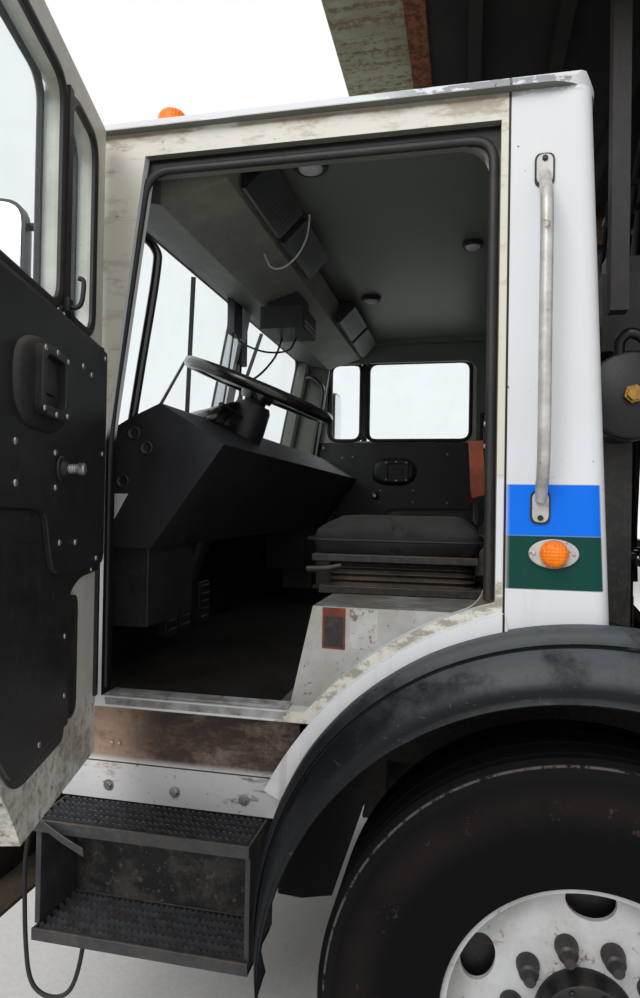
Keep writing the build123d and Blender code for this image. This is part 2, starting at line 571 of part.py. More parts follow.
# Seats: driver's on the left, passenger's on the right
SEATS = [("driver", 640.0), ("passenger", -640.0)]
SEAT_LOW = HOUSING_TOP + RUN
with BuildPart() as seat_bases:
    for _, y in SEATS:
        block((210, 620), (y - 200, y + 200), (SEAT_LOW, SEAT_LOW + 50))
        block((100, 215), (y - 30, y + 30), (SEAT_LOW, SEAT_LOW + 38))
        block((240, 590), (y - 170, y + 170), (SEAT_LOW + 50, SEAT_LOW + 90))
keep(seat_bases.part, "seat_bases")
with BuildPart() as seat_cushions:
    for _, y in SEATS:
        block((190, 665), (y - 240, y + 240), (SEAT_LOW + 90 + RUN, SEAT_LOW + 190))
with BuildPart() as seat_backs:
    for _, y in SEATS:
        with BuildSketch(Plane.XZ.offset(-(y + 230))):
            with BuildLine():
                Polyline((85, SEAT_LOW + 40), (190 - RUN, SEAT_LOW + 95), (165, SEAT_LOW + 720),
                         (65, SEAT_LOW + 720), close=True)
            make_face()
        extrude(amount=460)
keep(seat_cushions.part + seat_backs.part, "seat_pads")

with BuildPart() as overhead:
    with BuildSketch(Plane.XZ.offset(-INNER_Y + 40)):
        with BuildLine():
            Polyline((screen_x(ROOF_EAVE - 110) - 60, ROOF_EAVE - 110), (1000, ROOF_EAVE - 135),
                     (830, ROOF_EAVE - 80), (800, ROOF_EAVE), (screen_x(ROOF_EAVE) - 60, ROOF_EAVE), close=True)
        make_face()
    extrude(amount=2 * INNER_Y - 80)
keep(dash.part + overhead.part, "dash")

# Grab handles outside the panel behind each door, on two stand-offs
HANDLE_X = 100.0
HANDLE_LOW = 1530.0
HANDLE_HIGH = ROOF_EAVE - 160
with BuildPart() as grab_rails:
    for side in (-1, 1):
        upright(HANDLE_X, side * (CAB_Y + 62), 16, HANDLE_LOW, HANDLE_HIGH)
        for z in (HANDLE_LOW, HANDLE_HIGH):
            y = sorted((side * (CAB_Y + RUN), side * (CAB_Y + 78)))
            block((HANDLE_X - 18, HANDLE_X + 18), y, (z - 30, z + 30))
keep(grab_rails.part, "grab_rails")

# Fender flares over the front wheels, and flaps behind the rear wheels
FLARE_LIP_R = ARCH_R - 113
FLARE_LIP_CENTRE = (10.0, 515.0)
FLARE_Y = WHEEL_FACE_Y + 10
FLARE_SKIN = 12.0
with BuildPart() as fenders:
    with BuildSketch(Plane.XZ.offset(-FLARE_Y)):
        with BuildLine():
            outer = ARCH_R - 2
            ThreePointArc(arch_point(outer, 0), arch_point(outer, 90), arch_point(outer, 180))
            Line(arch_point(outer, 180), arch_point(FLARE_LIP_R, 180, FLARE_LIP_CENTRE))
            ThreePointArc(arch_point(FLARE_LIP_R, 180, FLARE_LIP_CENTRE),
                          arch_point(FLARE_LIP_R, 90, FLARE_LIP_CENTRE),
                          arch_point(FLARE_LIP_R, 0, FLARE_LIP_CENTRE))
            Line(arch_point(FLARE_LIP_R, 0, FLARE_LIP_CENTRE), arch_point(outer, 0))
        make_face()
    extrude(amount=FLARE_Y - CAB_Y - RUN)
    chamfer(fenders.edges().filter_by(GeomType.CIRCLE).group_by(Axis.Y)[-1].sort_by(SortBy.LENGTH)[-1],
            length=72, length2=46)
    cross_rod(ARCH_CENTRE[0], ARCH_CENTRE[1], ARCH_R - 2 - FLARE_SKIN - 46, CAB_Y - 2, FLARE_Y - FLARE_SKIN,
              mode=Mode.SUBTRACT)
    block((ARCH_FRONT - 31, ARCH_FRONT + 180), (CAB_Y - 5, FLARE_Y + 5), (450, 1000), mode=Mode.SUBTRACT)
    block((REAR_AXLES[1] - 640, REAR_AXLES[1] - 625), (560, 1215), (260, 1000))
    block((REAR_AXLES[1] - 640, REAR_AXLES[1] - 600), (RAIL_Y + RUN, 1215), (960, 1000))
    mirror(about=Plane.XZ)
keep(fenders.part, "fenders")

# Step boxes under the doors: two treads and a back plate
STEP_OUT = 1160.0
STEP_IN = 985.0
STEP_BACK = ARCH_FRONT - 21
STEP_FRONT = CAB_NOSE - 50
STEP_LOW = 500.0
TREAD = 30.0
with BuildPart() as step_boxes:
    block((STEP_BACK, STEP_FRONT), (STEP_IN, STEP_OUT), (STEP_TOP - TREAD, STEP_TOP))
    block((STEP_BACK, STEP_FRONT - 5), (STEP_IN, STEP_OUT), (STEP_LOW, STEP_LOW + TREAD))
    block((STEP_BACK, STEP_FRONT), (STEP_IN - 20, STEP_IN), (STEP_LOW, STEP_TOP))
    block((STEP_BACK, STEP_BACK + 12), (STEP_IN, STEP_OUT - 10), (STEP_LOW + TREAD - 2, STEP_TOP - TREAD + 2))
    block((STEP_FRONT - 14, STEP_FRONT), (STEP_IN, STEP_OUT - 20), (STEP_LOW + TREAD - 2, STEP_TOP - TREAD + 2))
    block((STEP_BACK + 60, STEP_FRONT - 60), (RAIL_Y + RUN, STEP_IN), (STEP_TOP - 45, STEP_TOP))
    mirror(about=Plane.XZ)
keep(step_boxes.part, "step_boxes")

# Air hose that hangs in a loop from the nose to the underside of the left step
HOSE_R = 5.5
HOSE_Y = 1090.0
HOSE_ROUTE = [
    (CAB_NOSE - 19, HOSE_Y - 30, NOSE_LOW - RUN), (CAB_NOSE - 19, HOSE_Y - 30, NOSE_LOW - 40),
    (CAB_NOSE, HOSE_Y - 12, 760), (CAB_NOSE + 14, HOSE_Y, 660),
    (CAB_NOSE + 13, HOSE_Y, 560), (CAB_NOSE + 9, HOSE_Y, 455), (CAB_NOSE - 3, HOSE_Y, 352),
    (CAB_NOSE - 39, HOSE_Y, 320), (CAB_NOSE - 89, HOSE_Y, 320), (CAB_NOSE - 127, HOSE_Y, 352),
    (CAB_NOSE - 150, HOSE_Y - 4, STEP_LOW - 45), (CAB_NOSE - 150, HOSE_Y - 4, STEP_LOW - RUN),
]


def bend_radii(route):
    """For each inner point, 0.45 of its shorter run over the tangent of half its turn."""
    radii = []
    for before, point, after in zip(route, route[1:], route[2:]):
        arrive, leave = Vector(*point) - Vector(*before), Vector(*after) - Vector(*point)
        turn = arrive.get_angle(leave)
        radii.append(0.45 * min(arrive.length, leave.length) / tan(radians(turn / 2)))
    return radii


print("step hose radii", [round(r) for r in bend_radii(HOSE_ROUTE)], "mm, hose", 2 * HOSE_R, "mm across")
with BuildPart() as step_hose:
    with BuildLine() as route:
        FilletPolyline(*HOSE_ROUTE, radius=bend_radii(HOSE_ROUTE))
    with BuildSketch(Plane(origin=route.line @ 0, z_dir=route.line % 0)):
        Circle(HOSE_R)
    sweep()
keep(step_hose.part, "step_hose")

# Lamps: round headlamps in the bumper's top, roof markers, side markers and tail lamps
with BuildPart() as lamps:
    for side in (-1, 1):
        long_rod(side * 860, 930, 95, CAB_NOSE + RUN, CAB_NOSE + 45)
        long_rod(side * 1030, 930, 55, CAB_NOSE + RUN, CAB_NOSE + 35)
        y = sorted((side * (CAB_Y + RUN), side * (CAB_Y + 22)))
        with BuildSketch(Plane.XZ.offset(-y[1])):
            with Locations((70, 1443)):
                Circle(32)
        extrude(amount=y[1] - y[0])
        block((RAIL_REAR - 45, RAIL_REAR - 20 - RUN), sorted((side * 760, side * 960)), (800, 920))
    for marker_y in (-CAB_Y + 95, -220.0, 0.0, 220.0, CAB_Y - 95):
        inner = max(abs(marker_y) - 42, 0) / (CAB_Y - 50)
        with BuildSketch(Plane.XY.offset(ROOF_TOP + ROOF_CROWN * (1 - inner ** 2) + RUN)):
            with Locations((977, marker_y)):
                Circle(42)
        extrude(amount=50, taper=18)
keep(lamps.part, "lamps")

# Doors, built closed on the left side; the right one is its mirror
DOOR_IN = CAB_Y + MOVE
DOOR_OUT = DOOR_IN + DOOR_WALL
WINDOW = (HINGE_X - 860, HINGE_X - 80, BELT_Z + 10, GLASS_TOP)       # low x, high x, low z, high z
BAR_X = HINGE_X - 280
LEFT_HINGE = Axis((HINGE_X + 12, HINGE_Y, 0), (0, 0, 1))


def door_outline(inset):
    """The door's outline in the XZ plane, its lower rear corner cut by the wheel arch."""
    low = arch_at_z(DOOR_ARCH_R + inset, DOOR_LOW + inset)
    back = HINGE_X - DOOR_REACH + inset
    high = degrees(acos((back - ARCH_CENTRE[0]) / (DOOR_ARCH_R + inset)))
    Polyline(arch_point(DOOR_ARCH_R + inset, high), (back, DOOR_TOP - inset), (HINGE_X - inset, DOOR_TOP - inset),
             (HINGE_X - inset, DOOR_LOW + inset), arch_point(DOOR_ARCH_R + inset, low))
    ThreePointArc(arch_point(DOOR_ARCH_R + inset, low), arch_point(DOOR_ARCH_R + inset, (low + high) / 2),
                  arch_point(DOOR_ARCH_R + inset, high))


with BuildPart() as door_shell:
    with BuildSketch(Plane.XZ.offset(-DOOR_OUT)) as skin:
        with BuildLine() as edge:
            door_outline(0)
        make_face(edge.edges())
        with Locations(((WINDOW[0] + WINDOW[1]) / 2, (WINDOW[2] + WINDOW[3]) / 2)):
            RectangleRounded(WINDOW[1] - WINDOW[0], WINDOW[3] - WINDOW[2], 60, mode=Mode.SUBTRACT)
    extrude(amount=DOOR_WALL)
    block((BAR_X - 14, BAR_X + 14), (DOOR_IN + 4, DOOR_OUT - 4), (WINDOW[2] - 5, WINDOW[3] + 5))
    # Hinge knuckles and the outside pull
    for hinge_z in HINGE_HEIGHTS:
        upright(HINGE_X + 12, HINGE_Y, 11, hinge_z - 50, hinge_z + 50)
        block((HINGE_X - 40, HINGE_X + 14), (HINGE_Y - 4, HINGE_Y + 4), (hinge_z - 45, hinge_z + 45))
        upright(HINGE_X + 12, HINGE_Y, PIN_STUB + RUN, hinge_z - 51, hinge_z - 10, mode=Mode.SUBTRACT)
    block((HINGE_X - 850, HINGE_X - 700), (DOOR_OUT - 1, DOOR_OUT + 22), (1560, 1600))

with BuildPart() as door_trim:
    with BuildSketch(Plane.XZ.offset(-(DOOR_IN - RUN))):
        with BuildLine():
            Polyline((HINGE_X - 55, BELT_Z), (HINGE_X - 30, 1700), (HINGE_X - 30, 1370), (HINGE_X - 100, 1350),
                     (HINGE_X - 130, 1090), (HINGE_X - 425, 1090), (HINGE_X - 500, 1160),
                     (HINGE_X - 700, 1340), (HINGE_X - 880, 1430), (HINGE_X - 880, BELT_Z), close=True)
        make_face()
    extrude(amount=24)
    with BuildSketch(Plane.XZ.offset(-(DOOR_IN - RUN - 12))):
        with Locations((HINGE_X - 330, 1745)):
            RectangleRounded(150, 150, 24)
    extrude(amount=13, mode=Mode.SUBTRACT)
    # Mirror and its two stays on the door's outer skin
    for stay_z in (1790.0, 2150.0):
        block((HINGE_X - 62, HINGE_X - 38), (DOOR_OUT + RUN, DOOR_OUT + 110), (stay_z - 11, stay_z + 11))
    with BuildSketch(Plane.XY.offset(1740)):
        with Locations((HINGE_X - 50, DOOR_OUT + 205)):
            RectangleRounded(70, 200, 25)
    extrude(amount=460)

with BuildPart() as door_glass:
    for x_low, x_high in ((WINDOW[0], BAR_X - 14), (BAR_X + 14, WINDOW[1])):
        with BuildSketch(Plane.XZ.offset(-(DOOR_IN + 26))):
            with Locations(((x_low + x_high) / 2, (WINDOW[2] + WINDOW[3]) / 2)):
                RectangleRounded(x_high - x_low - 2 * RUN, WINDOW[3] - WINDOW[2] - 2 * RUN, 60.5)
        extrude(amount=6)

for shell, name in ((door_shell, "door"), (door_trim, "door_trim"), (door_glass, "door_glass")):
    keep(shell.part.rotate(LEFT_HINGE, -DOOR_ANGLE), "left_" + name)
    keep(shell.part.mirror(Plane.XZ), "right_" + name)


# Wheels: one function for the tyre's ring and one for a rim with its disc
def tyre_ring(x, y):
    """A tyre about the wheel's axis, its middle at y."""
    half = TYRE_W / 2
    seat = RIM_SEAT_R + RUN
    bead = RIM_FLANGE_IN - RUN
    with BuildSketch(Plane(origin=(x, y, HUB_Z), x_dir=(0, 1, 0), z_dir=(1, 0, 0))) as section:
        with BuildLine():
            Polyline((-bead, seat), (-bead, RIM_R + 4), (-half, seat + 110), (-0.88 * half, TYRE_R),
                     (0.88 * half, TYRE_R), (half, seat + 110), (bead, RIM_R + 4), (bead, seat), close=True)
        make_face()
    revolve(section.sketch, Axis((x, y, HUB_Z), (0, 1, 0)))


def rim(x, y, disc_y, foot_y):
    """A rim barrel with its middle at y, and a disc from the hub at disc_y to the barrel at foot_y."""
    inner = RIM_SEAT_R - 12
    outer_face = 12 if disc_y > 0 else -12
    with BuildSketch(Plane(origin=(x, 0, HUB_Z), x_dir=(0, 1, 0), z_dir=(1, 0, 0))) as section:
        with BuildLine():
            Polyline((y - RIM_HALF, inner), (y + RIM_HALF, inner), (y + RIM_HALF, RIM_R),
                     (y + RIM_FLANGE_IN, RIM_R), (y + RIM_FLANGE_IN, RIM_SEAT_R),
                     (y - RIM_FLANGE_IN, RIM_SEAT_R), (y - RIM_FLANGE_IN, RIM_R),
                     (y - RIM_HALF, RIM_R), close=True)
        make_face()
        with BuildLine():
            Polyline((disc_y, HUB_R - 20), (disc_y, 185), (foot_y, inner + 2), (foot_y - outer_face, inner + 2),
                     (disc_y - outer_face, 185), (disc_y - outer_face, HUB_R - 20), close=True)
        make_face()
    revolve(section.sketch, Axis((x, 0, HUB_Z), (0, 1, 0)))
    low, high = min(disc_y, foot_y) - 15, max(disc_y, foot_y) + 15
    for hole in range(HAND_HOLES):
        angle = radians(93 + 360 / HAND_HOLES * hole)
        cross_rod(x + HAND_HOLE_AT * cos(angle), HUB_Z + HAND_HOLE_AT * sin(angle), HAND_HOLE_R, low, high,
                  mode=Mode.SUBTRACT)


FRONT_TYRE_Y = WHEEL_FACE_Y - TYRE_W / 2
FRONT_DISC_Y = FRONT_TYRE_Y + 65
for side, word in ((1, "left"), (-1, "right")):
    with BuildPart() as front_tyre:
        tyre_ring(0, side * FRONT_TYRE_Y)
    keep(front_tyre.part, f"front_{word}_tyre")
    with BuildPart() as front_wheel:
        rim(0, side * FRONT_TYRE_Y, side * FRONT_DISC_Y, side * (FRONT_DISC_Y - 25))
        y = sorted((side * (FRONT_DISC_Y - 135), side * (FRONT_DISC_Y + 45)))
        cross_rod(0, HUB_Z, HUB_R, *y)
        y = sorted((side * (FRONT_DISC_Y - 136), side * (FRONT_DISC_Y + 20)))
        cross_rod(0, HUB_Z, SPINDLE_R + RUN, *y, mode=Mode.SUBTRACT)
    keep(front_wheel.part, f"front_{word}_wheel")
    with BuildPart() as knuckle:
        for arm_z in (HUB_Z - 105, HUB_Z + 72):
            block((-48, 48), sorted((side * (KINGPIN_Y - 48), side * (FRONT_DISC_Y - 155))),
                  (arm_z, arm_z + 33))
        block((-48, 48), sorted((side * (KINGPIN_Y + 56), side * (FRONT_DISC_Y - 155))),
              (HUB_Z - 105, HUB_Z + 105))
        upright(0, side * KINGPIN_Y, KINGPIN_R, HUB_Z - 105, HUB_Z + 105)
        cross_rod(0, HUB_Z, SPINDLE_R, *sorted((side * (FRONT_DISC_Y - 156), side * (FRONT_DISC_Y + 15))))
        # Steering arm, reaching back to the tie rod
        block((-200, -40), sorted((side * (KINGPIN_Y - 45), side * (KINGPIN_Y + 5))),
              (HUB_Z - 105, HUB_Z - 80))
    keep(knuckle.part, f"{word}_knuckle")

TIE_X = -175.0
TIE_Z = HUB_Z - 135
with BuildPart() as tie_rod:
    cross_rod(TIE_X, TIE_Z, 16, -KINGPIN_Y + 20, KINGPIN_Y - 20)
    for side in (-1, 1):
        upright(TIE_X, side * (KINGPIN_Y - 20), 26, TIE_Z - 20, HUB_Z - 105 - RUN)
keep(tie_rod.part, "tie_rod")

for row, axle_x in (("fore", REAR_AXLES[0]), ("aft", REAR_AXLES[1])):
    for side, word in ((1, "left"), (-1, "right")):
        outer_y = WHEEL_FACE_Y - TYRE_W / 2
        with BuildPart() as twin_tyres:
            tyre_ring(axle_x, side * outer_y)
            tyre_ring(axle_x, side * (outer_y - TWIN_STEP))
        keep(twin_tyres.part, f"{row}_{word}_tyres")
        with BuildPart() as twin_wheels:
            rim(axle_x, side * outer_y, side * (REAR_HUB_Y + 12), side * (outer_y - 85))
            rim(axle_x, side * (outer_y - TWIN_STEP), side * REAR_HUB_Y, side * (outer_y - TWIN_STEP + 85))
            cross_rod(axle_x, HUB_Z, HUB_R, *sorted((side * (REAR_HUB_Y - 90), side * (REAR_HUB_Y + 175))))
            cross_rod(axle_x, HUB_Z, SPINDLE_R + RUN,
                      *sorted((side * (REAR_HUB_Y - 91), side * (REAR_HUB_Y + 157))), mode=Mode.SUBTRACT)
        keep(twin_wheels.part, f"{row}_{word}_wheels")

# Load body
SIDE_TOP = BODY_TOP - BODY_WALL
with BuildPart() as body_floor:
    block((BODY_REAR, BODY_FRONT), (-BODY_Y, BODY_Y), (BODY_FLOOR_TOP - BODY_FLOOR_THICK, BODY_FLOOR_TOP))
    for side in (-1, 1):
        block((BODY_REAR + 40, ARM_PIVOT_X - 300),
              sorted((side * (RAIL_Y - RAIL_FLANGE), side * RAIL_Y)),
              (RAIL_TOP + RUN, BODY_FLOOR_TOP - BODY_FLOOR_THICK + 1))
keep(body_floor.part, "body_floor")

with BuildPart() as body_sides:
    side_low = BODY_FLOOR_TOP + RUN
    side_plate([(HOPPER_SLOPE + RUN, side_low), (BODY_FRONT, side_low), (BODY_FRONT, HOPPER_TOP),
                (HOPPER_SLOPE + RUN, HOPPER_TOP)], BODY_Y, BODY_WALL)
    side_plate([(BODY_REAR, side_low), (HOPPER_SLOPE, side_low), (HOPPER_SLOPE, HOPPER_TOP),
                (HOPPER_REAR, SIDE_TOP), (BODY_REAR, SIDE_TOP)], BODY_Y, BODY_WALL)
    # Upright stiffeners behind the arms' sweep, and a rail along the top
    for rib in range(5):
        rib_x = HOPPER_REAR - 200 - 640 * rib
        block((rib_x - 45, rib_x + 45), (BODY_Y - 1, BODY_Y + 55), (BODY_FLOOR_TOP + RUN, SIDE_TOP - 40))
    block((TAIL_BASE[0] + 90, HOPPER_REAR - 50), (BODY_Y - 1, BODY_Y + 55), (SIDE_TOP - 100, SIDE_TOP))
    cross_rod(*TAIL_BASE, 27, BODY_Y - 1, BODY_Y + MOVE - RUN)
    mirror(about=Plane.XZ)
keep(body_sides.part, "body_sides")

with BuildPart() as body_roof:
    block((BODY_REAR, HOPPER_REAR), (-BODY_Y, BODY_Y), (SIDE_TOP + RUN, BODY_TOP))
    block((HOPPER_REAR - 45, HOPPER_REAR), (-BODY_Y + BODY_WALL + RUN, BODY_Y - BODY_WALL - RUN),
          (HOPPER_TOP + 60, SIDE_TOP + 1))
    for side in (-1, 1):
        block((BODY_REAR, BODY_REAR + 160), sorted((side * 560, side * 592)), (BODY_TOP - 1, BODY_TOP + 85))
        cross_rod(*TAIL_HINGE, 36, *sorted((side * 560, side * 592)))
        cross_rod(TAIL_HINGE[0], TAIL_HINGE[1], 20, *sorted((side * 575, side * 660)))
keep(body_roof.part, "body_roof")

with BuildPart() as body_head:
    head_y = BODY_Y - BODY_WALL - RUN
    block((BODY_FRONT - BODY_WALL, BODY_FRONT), (-head_y, head_y), (BODY_FLOOR_TOP + RUN, HOPPER_TOP))
    block((BODY_FRONT + RUN, SHIELD_FRONT), (-BODY_Y, BODY_Y), (SHIELD_LOW, SHIELD_LOW + SHIELD_THICK))
    block((BODY_FRONT - 1, BODY_FRONT + 30), (-head_y, head_y), (SHIELD_LOW, SHIELD_LOW + SHIELD_THICK))
    # Cross ribs under the shield, and the flange near its front edge
    for rib in range(4):
        rib_x = 242 - 254 * rib
        block((rib_x - 20, rib_x + 20), (-BODY_Y + 20, BODY_Y - 20), (SHIELD_LOW - 60, SHIELD_LOW + 1))
    block((385, 448), (-BODY_Y + 20, BODY_Y - 20), (SHIELD_LOW - 12, SHIELD_LOW + 1))
    for side in (-1, 1):
        side_plate([(BODY_FRONT - 1, SHIELD_LOW - 600), (BODY_FRONT + 500, SHIELD_LOW + 1),
                    (BODY_FRONT - 1, SHIELD_LOW + 1)], side * 1035 + 15, 30)
    upright(STACK_X, STACK_Y, STACK_R + 18, SHIELD_LOW - 80, SHIELD_LOW + 80, mode=Mode.SUBTRACT)
keep(body_head.part, "body_head")

with BuildPart() as packer_blade:
    side_plate([(-1000, 1310), (-1000, 2250), (-1150, 2500), (-1400, 2500), (-1550, 2100), (-1550, 1310)],
               BODY_Y - BODY_WALL - MOVE, 2 * (BODY_Y - BODY_WALL - MOVE))
    # Hollow towards the cab, and carried on two wear strips
    side_plate([(-999, 1360), (-999, 2200), (-1160, 2455), (-1385, 2455), (-1505, 2085), (-1505, 1360)],
               BODY_Y - 2 * BODY_WALL - MOVE, 2 * (BODY_Y - 2 * BODY_WALL - MOVE), mode=Mode.SUBTRACT)
    for side in (-1, 1):
        block((-1550, -1000), sorted((side * 700, side * 900)), (BODY_FLOOR_TOP + RUN, 1311))
keep(packer_blade.part, "packer_blade")

# Tailgate, a shell open towards the body
TAIL_OUTLINE = [(TAIL_X, 1245.0), (TAIL_X - 260, 1245.0), (TAIL_X - TAILGATE_DEPTH, 1900.0),
                (TAIL_X - TAILGATE_DEPTH, 3300.0), (TAIL_X - 300, BODY_TOP), (TAIL_X, BODY_TOP)]
with BuildPart() as tailgate:
    side_plate(TAIL_OUTLINE, BODY_Y, 2 * BODY_Y)
    hollow = [(TAIL_X + 1, 1290.0), (TAIL_X - 240, 1290.0), (TAIL_X - TAILGATE_DEPTH + 45, 1915.0),
              (TAIL_X - TAILGATE_DEPTH + 45, 3285.0), (TAIL_X - 285, BODY_TOP - 45), (TAIL_X + 1, BODY_TOP - 45)]
    side_plate(hollow, BODY_Y - BODY_WALL, 2 * (BODY_Y - BODY_WALL), mode=Mode.SUBTRACT)
    for side in (-1, 1):
        y = sorted((side * 600, side * 640))
        block((TAIL_HINGE[0] - 60, TAIL_HINGE[0] - 8), y, (BODY_TOP - 1, BODY_TOP + 82))
        cross_rod(TAIL_HINGE[0], TAIL_HINGE[1], 34, *y)
        cross_rod(TAIL_HINGE[0], TAIL_HINGE[1], 20 + RUN, y[0] - 1, y[1] + 1, mode=Mode.SUBTRACT)
        cross_rod(*TAIL_PIN, 27, *sorted((side * (BODY_Y - 1), side * (BODY_Y + MOVE - RUN))))
    # Cross stiffeners on the rear skin
    for z in (2050.0, 2550.0, 3050.0):
        block((TAIL_X - TAILGATE_DEPTH - 40, TAIL_X - TAILGATE_DEPTH + 1), (-BODY_Y, BODY_Y), (z, z + 90))
keep(tailgate.part, "tailgate")

# Arms, drawn lowered about their pivot and kept in the stowed place
ARM_PATH = [(0.0, 0.0), (150.0, 1180.0), (550.0, 1560.0), (2000.0, 1560.0), (2700.0, 1080.0), (2850.0, 80.0)]
ARM_LINE = turned(ARM_PIVOT_X, ARM_PIVOT_Z, ARM_PATH, angle=ARM_LOWERED)
FORK_X, FORK_Z = ARM_LINE[-1]
LIFT_CRANK_R = 220.0
LIFT_CRANK_ANGLE = 221.0 + ARM_LOWERED
LIFT_PIN = turned(ARM_PIVOT_X, ARM_PIVOT_Z, [(LIFT_CRANK_R, 0.0)], angle=LIFT_CRANK_ANGLE)[0]
FORK_CRANK_Y = 1035.0
FORK_EYE = 62.0
FORK_CYL_Y = FORK_CRANK_Y + 12 + RUN + FORK_EYE / 2
FORK_BASE = turned(ARM_PIVOT_X, ARM_PIVOT_Z, [(2400.0, 1290.0)], angle=ARM_LOWERED)[0]
with BuildPart() as arms:
    for y_out in (ARM_IN_Y + ARM_THICK, -ARM_IN_Y):
        for a, b in zip(ARM_LINE, ARM_LINE[1:]):
            bar_between(a, b, ARM_DEPTH, y_out, ARM_THICK)
        cross_rod(ARM_PIVOT_X, ARM_PIVOT_Z, 160, y_out - ARM_THICK, y_out)
        cross_rod(FORK_X, FORK_Z, FORK_PIN_R + RUN, y_out - ARM_THICK - 1, y_out + 1, mode=Mode.SUBTRACT)
    cross_rod(ARM_PIVOT_X, ARM_PIVOT_Z, 80, -ARM_IN_Y - 10, ARM_IN_Y + 10)
    # Lift cranks on the cross tube, outside the rails
    for y_out in (RAIL_Y + 45, -RAIL_Y - 10):
        bar_between((ARM_PIVOT_X, ARM_PIVOT_Z), LIFT_PIN, 110, y_out, 35)
    # Lugs for the fork cylinders inside the arms
    for side in (-1, 1):
        cross_rod(*FORK_BASE, 45, *sorted((side * (FORK_CYL_Y + FORK_EYE / 2 + RUN), side * (ARM_IN_Y + 1))))
keep(arms.part, "arms")

FORK_ANGLE = FORK_TUCK + ARM_LOWERED
FORK_CRANK_R = 200.0
FORK_CRANK_ANGLE = FORK_ANGLE - 24.5
FORK_PIN = turned(FORK_X, FORK_Z, [(FORK_CRANK_R, 0.0)], angle=FORK_CRANK_ANGLE)[0]
with BuildPart() as forks:
    cross_rod(FORK_X, FORK_Z, 70, -ARM_IN_Y + MOVE, ARM_IN_Y - MOVE)
    for side in (-1, 1):
        cross_rod(FORK_X, FORK_Z, FORK_PIN_R, *sorted((side * (ARM_IN_Y - MOVE - 1),
                                                         side * (ARM_IN_Y + ARM_THICK - 2))))
        blade = turned(FORK_X, FORK_Z, [(0, -70), (0, 70), (FORK_LENGTH, 28), (FORK_LENGTH + 40, 0),
                                         (FORK_LENGTH, -28)], angle=FORK_ANGLE)
        side_plate(blade, side * FORK_Y + FORK_THICK / 2, FORK_THICK)
        bar_between((FORK_X, FORK_Z), FORK_PIN, 100, side * FORK_CRANK_Y + 12, 24)
keep(forks.part, "forks")


def cylinder_pair(base, pin, ys, barrel_length, rod_length, barrel_r, rod_r, width, names):
    """Two like cylinders: barrels hinged at the base, rods reaching to the pin."""
    length = hypot(pin[0] - base[0], pin[1] - base[1])
    aim = ((pin[0] - base[0]) / length, (pin[1] - base[1]) / length)

    def along(distance):
        return base[0] + aim[0] * distance, base[1] + aim[1] * distance

    def tube(y, start, end, r, mode=Mode.ADD):
        x, z = along(start)
        with BuildSketch(Plane(origin=(x, y, z), z_dir=(aim[0], 0, aim[1]))) as ring:
            Circle(r)
        extrude(ring.sketch, amount=end - start, mode=mode)

    with BuildPart() as barrels:
        for y in ys:
            tube(y, 26, barrel_length, barrel_r)
            cross_rod(*base, barrel_r + 4, y - width / 2, y + width / 2)
            tube(y, 60, barrel_length + 1, rod_r + 2, mode=Mode.SUBTRACT)
    keep(barrels.part, names + "_barrels")
    with BuildPart() as rods:
        for y in ys:
            tube(y, length - rod_length, length - 20, rod_r)
            cross_rod(*pin, rod_r + 20, y - width / 2, y + width / 2)
    keep(rods.part, names + "_rods")
    return length, degrees(atan2(aim[1], aim[0]))


cylinder_pair(LIFT_BASE, LIFT_PIN, (LIFT_Y, -LIFT_Y), 680, 950, 42, 24, 50, "lift")
cylinder_pair(FORK_BASE, FORK_PIN, (FORK_CYL_Y, -FORK_CYL_Y), 780, 760, 30, 16, FORK_EYE, "fork")
TAIL_Y = BODY_Y + MOVE + 30
cylinder_pair(TAIL_BASE, TAIL_PIN, (TAIL_Y, -TAIL_Y), 1060, 1130, 29, 17, 60, "tailgate")

# The whole is moved so that its origin is the bottom centre of its box
whole = Compound(pieces).bounding_box()
TO_ORIGIN = Location((-(whole.min.X + whole.max.X) / 2, -(whole.min.Y + whole.max.Y) / 2, -whole.min.Z))
if __name__ == "__main__":
    os.makedirs("parts", exist_ok=True)
    for piece in pieces:
        placed = piece.moved(TO_ORIGIN)
        placed.label = piece.label
        export_step(placed, f"parts/{piece.label}.step")
    print(len(pieces), "pieces, size", whole.size, "moved by", TO_ORIGIN.position)
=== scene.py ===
# %% [markdown]
# # Dressing a garbage truck
# The truck's rigid shapes come from a CAD model with real joints. This lesson adds what makes them look real:
# the camera of the photograph, plain soft light, materials with wear, and the pieces that are too fine for the CAD.
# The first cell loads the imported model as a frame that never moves. Everything below is placed against it.

# %% Load the frame
import json
import math
import random

import bmesh
import bpy
from mathutils import Matrix, Vector


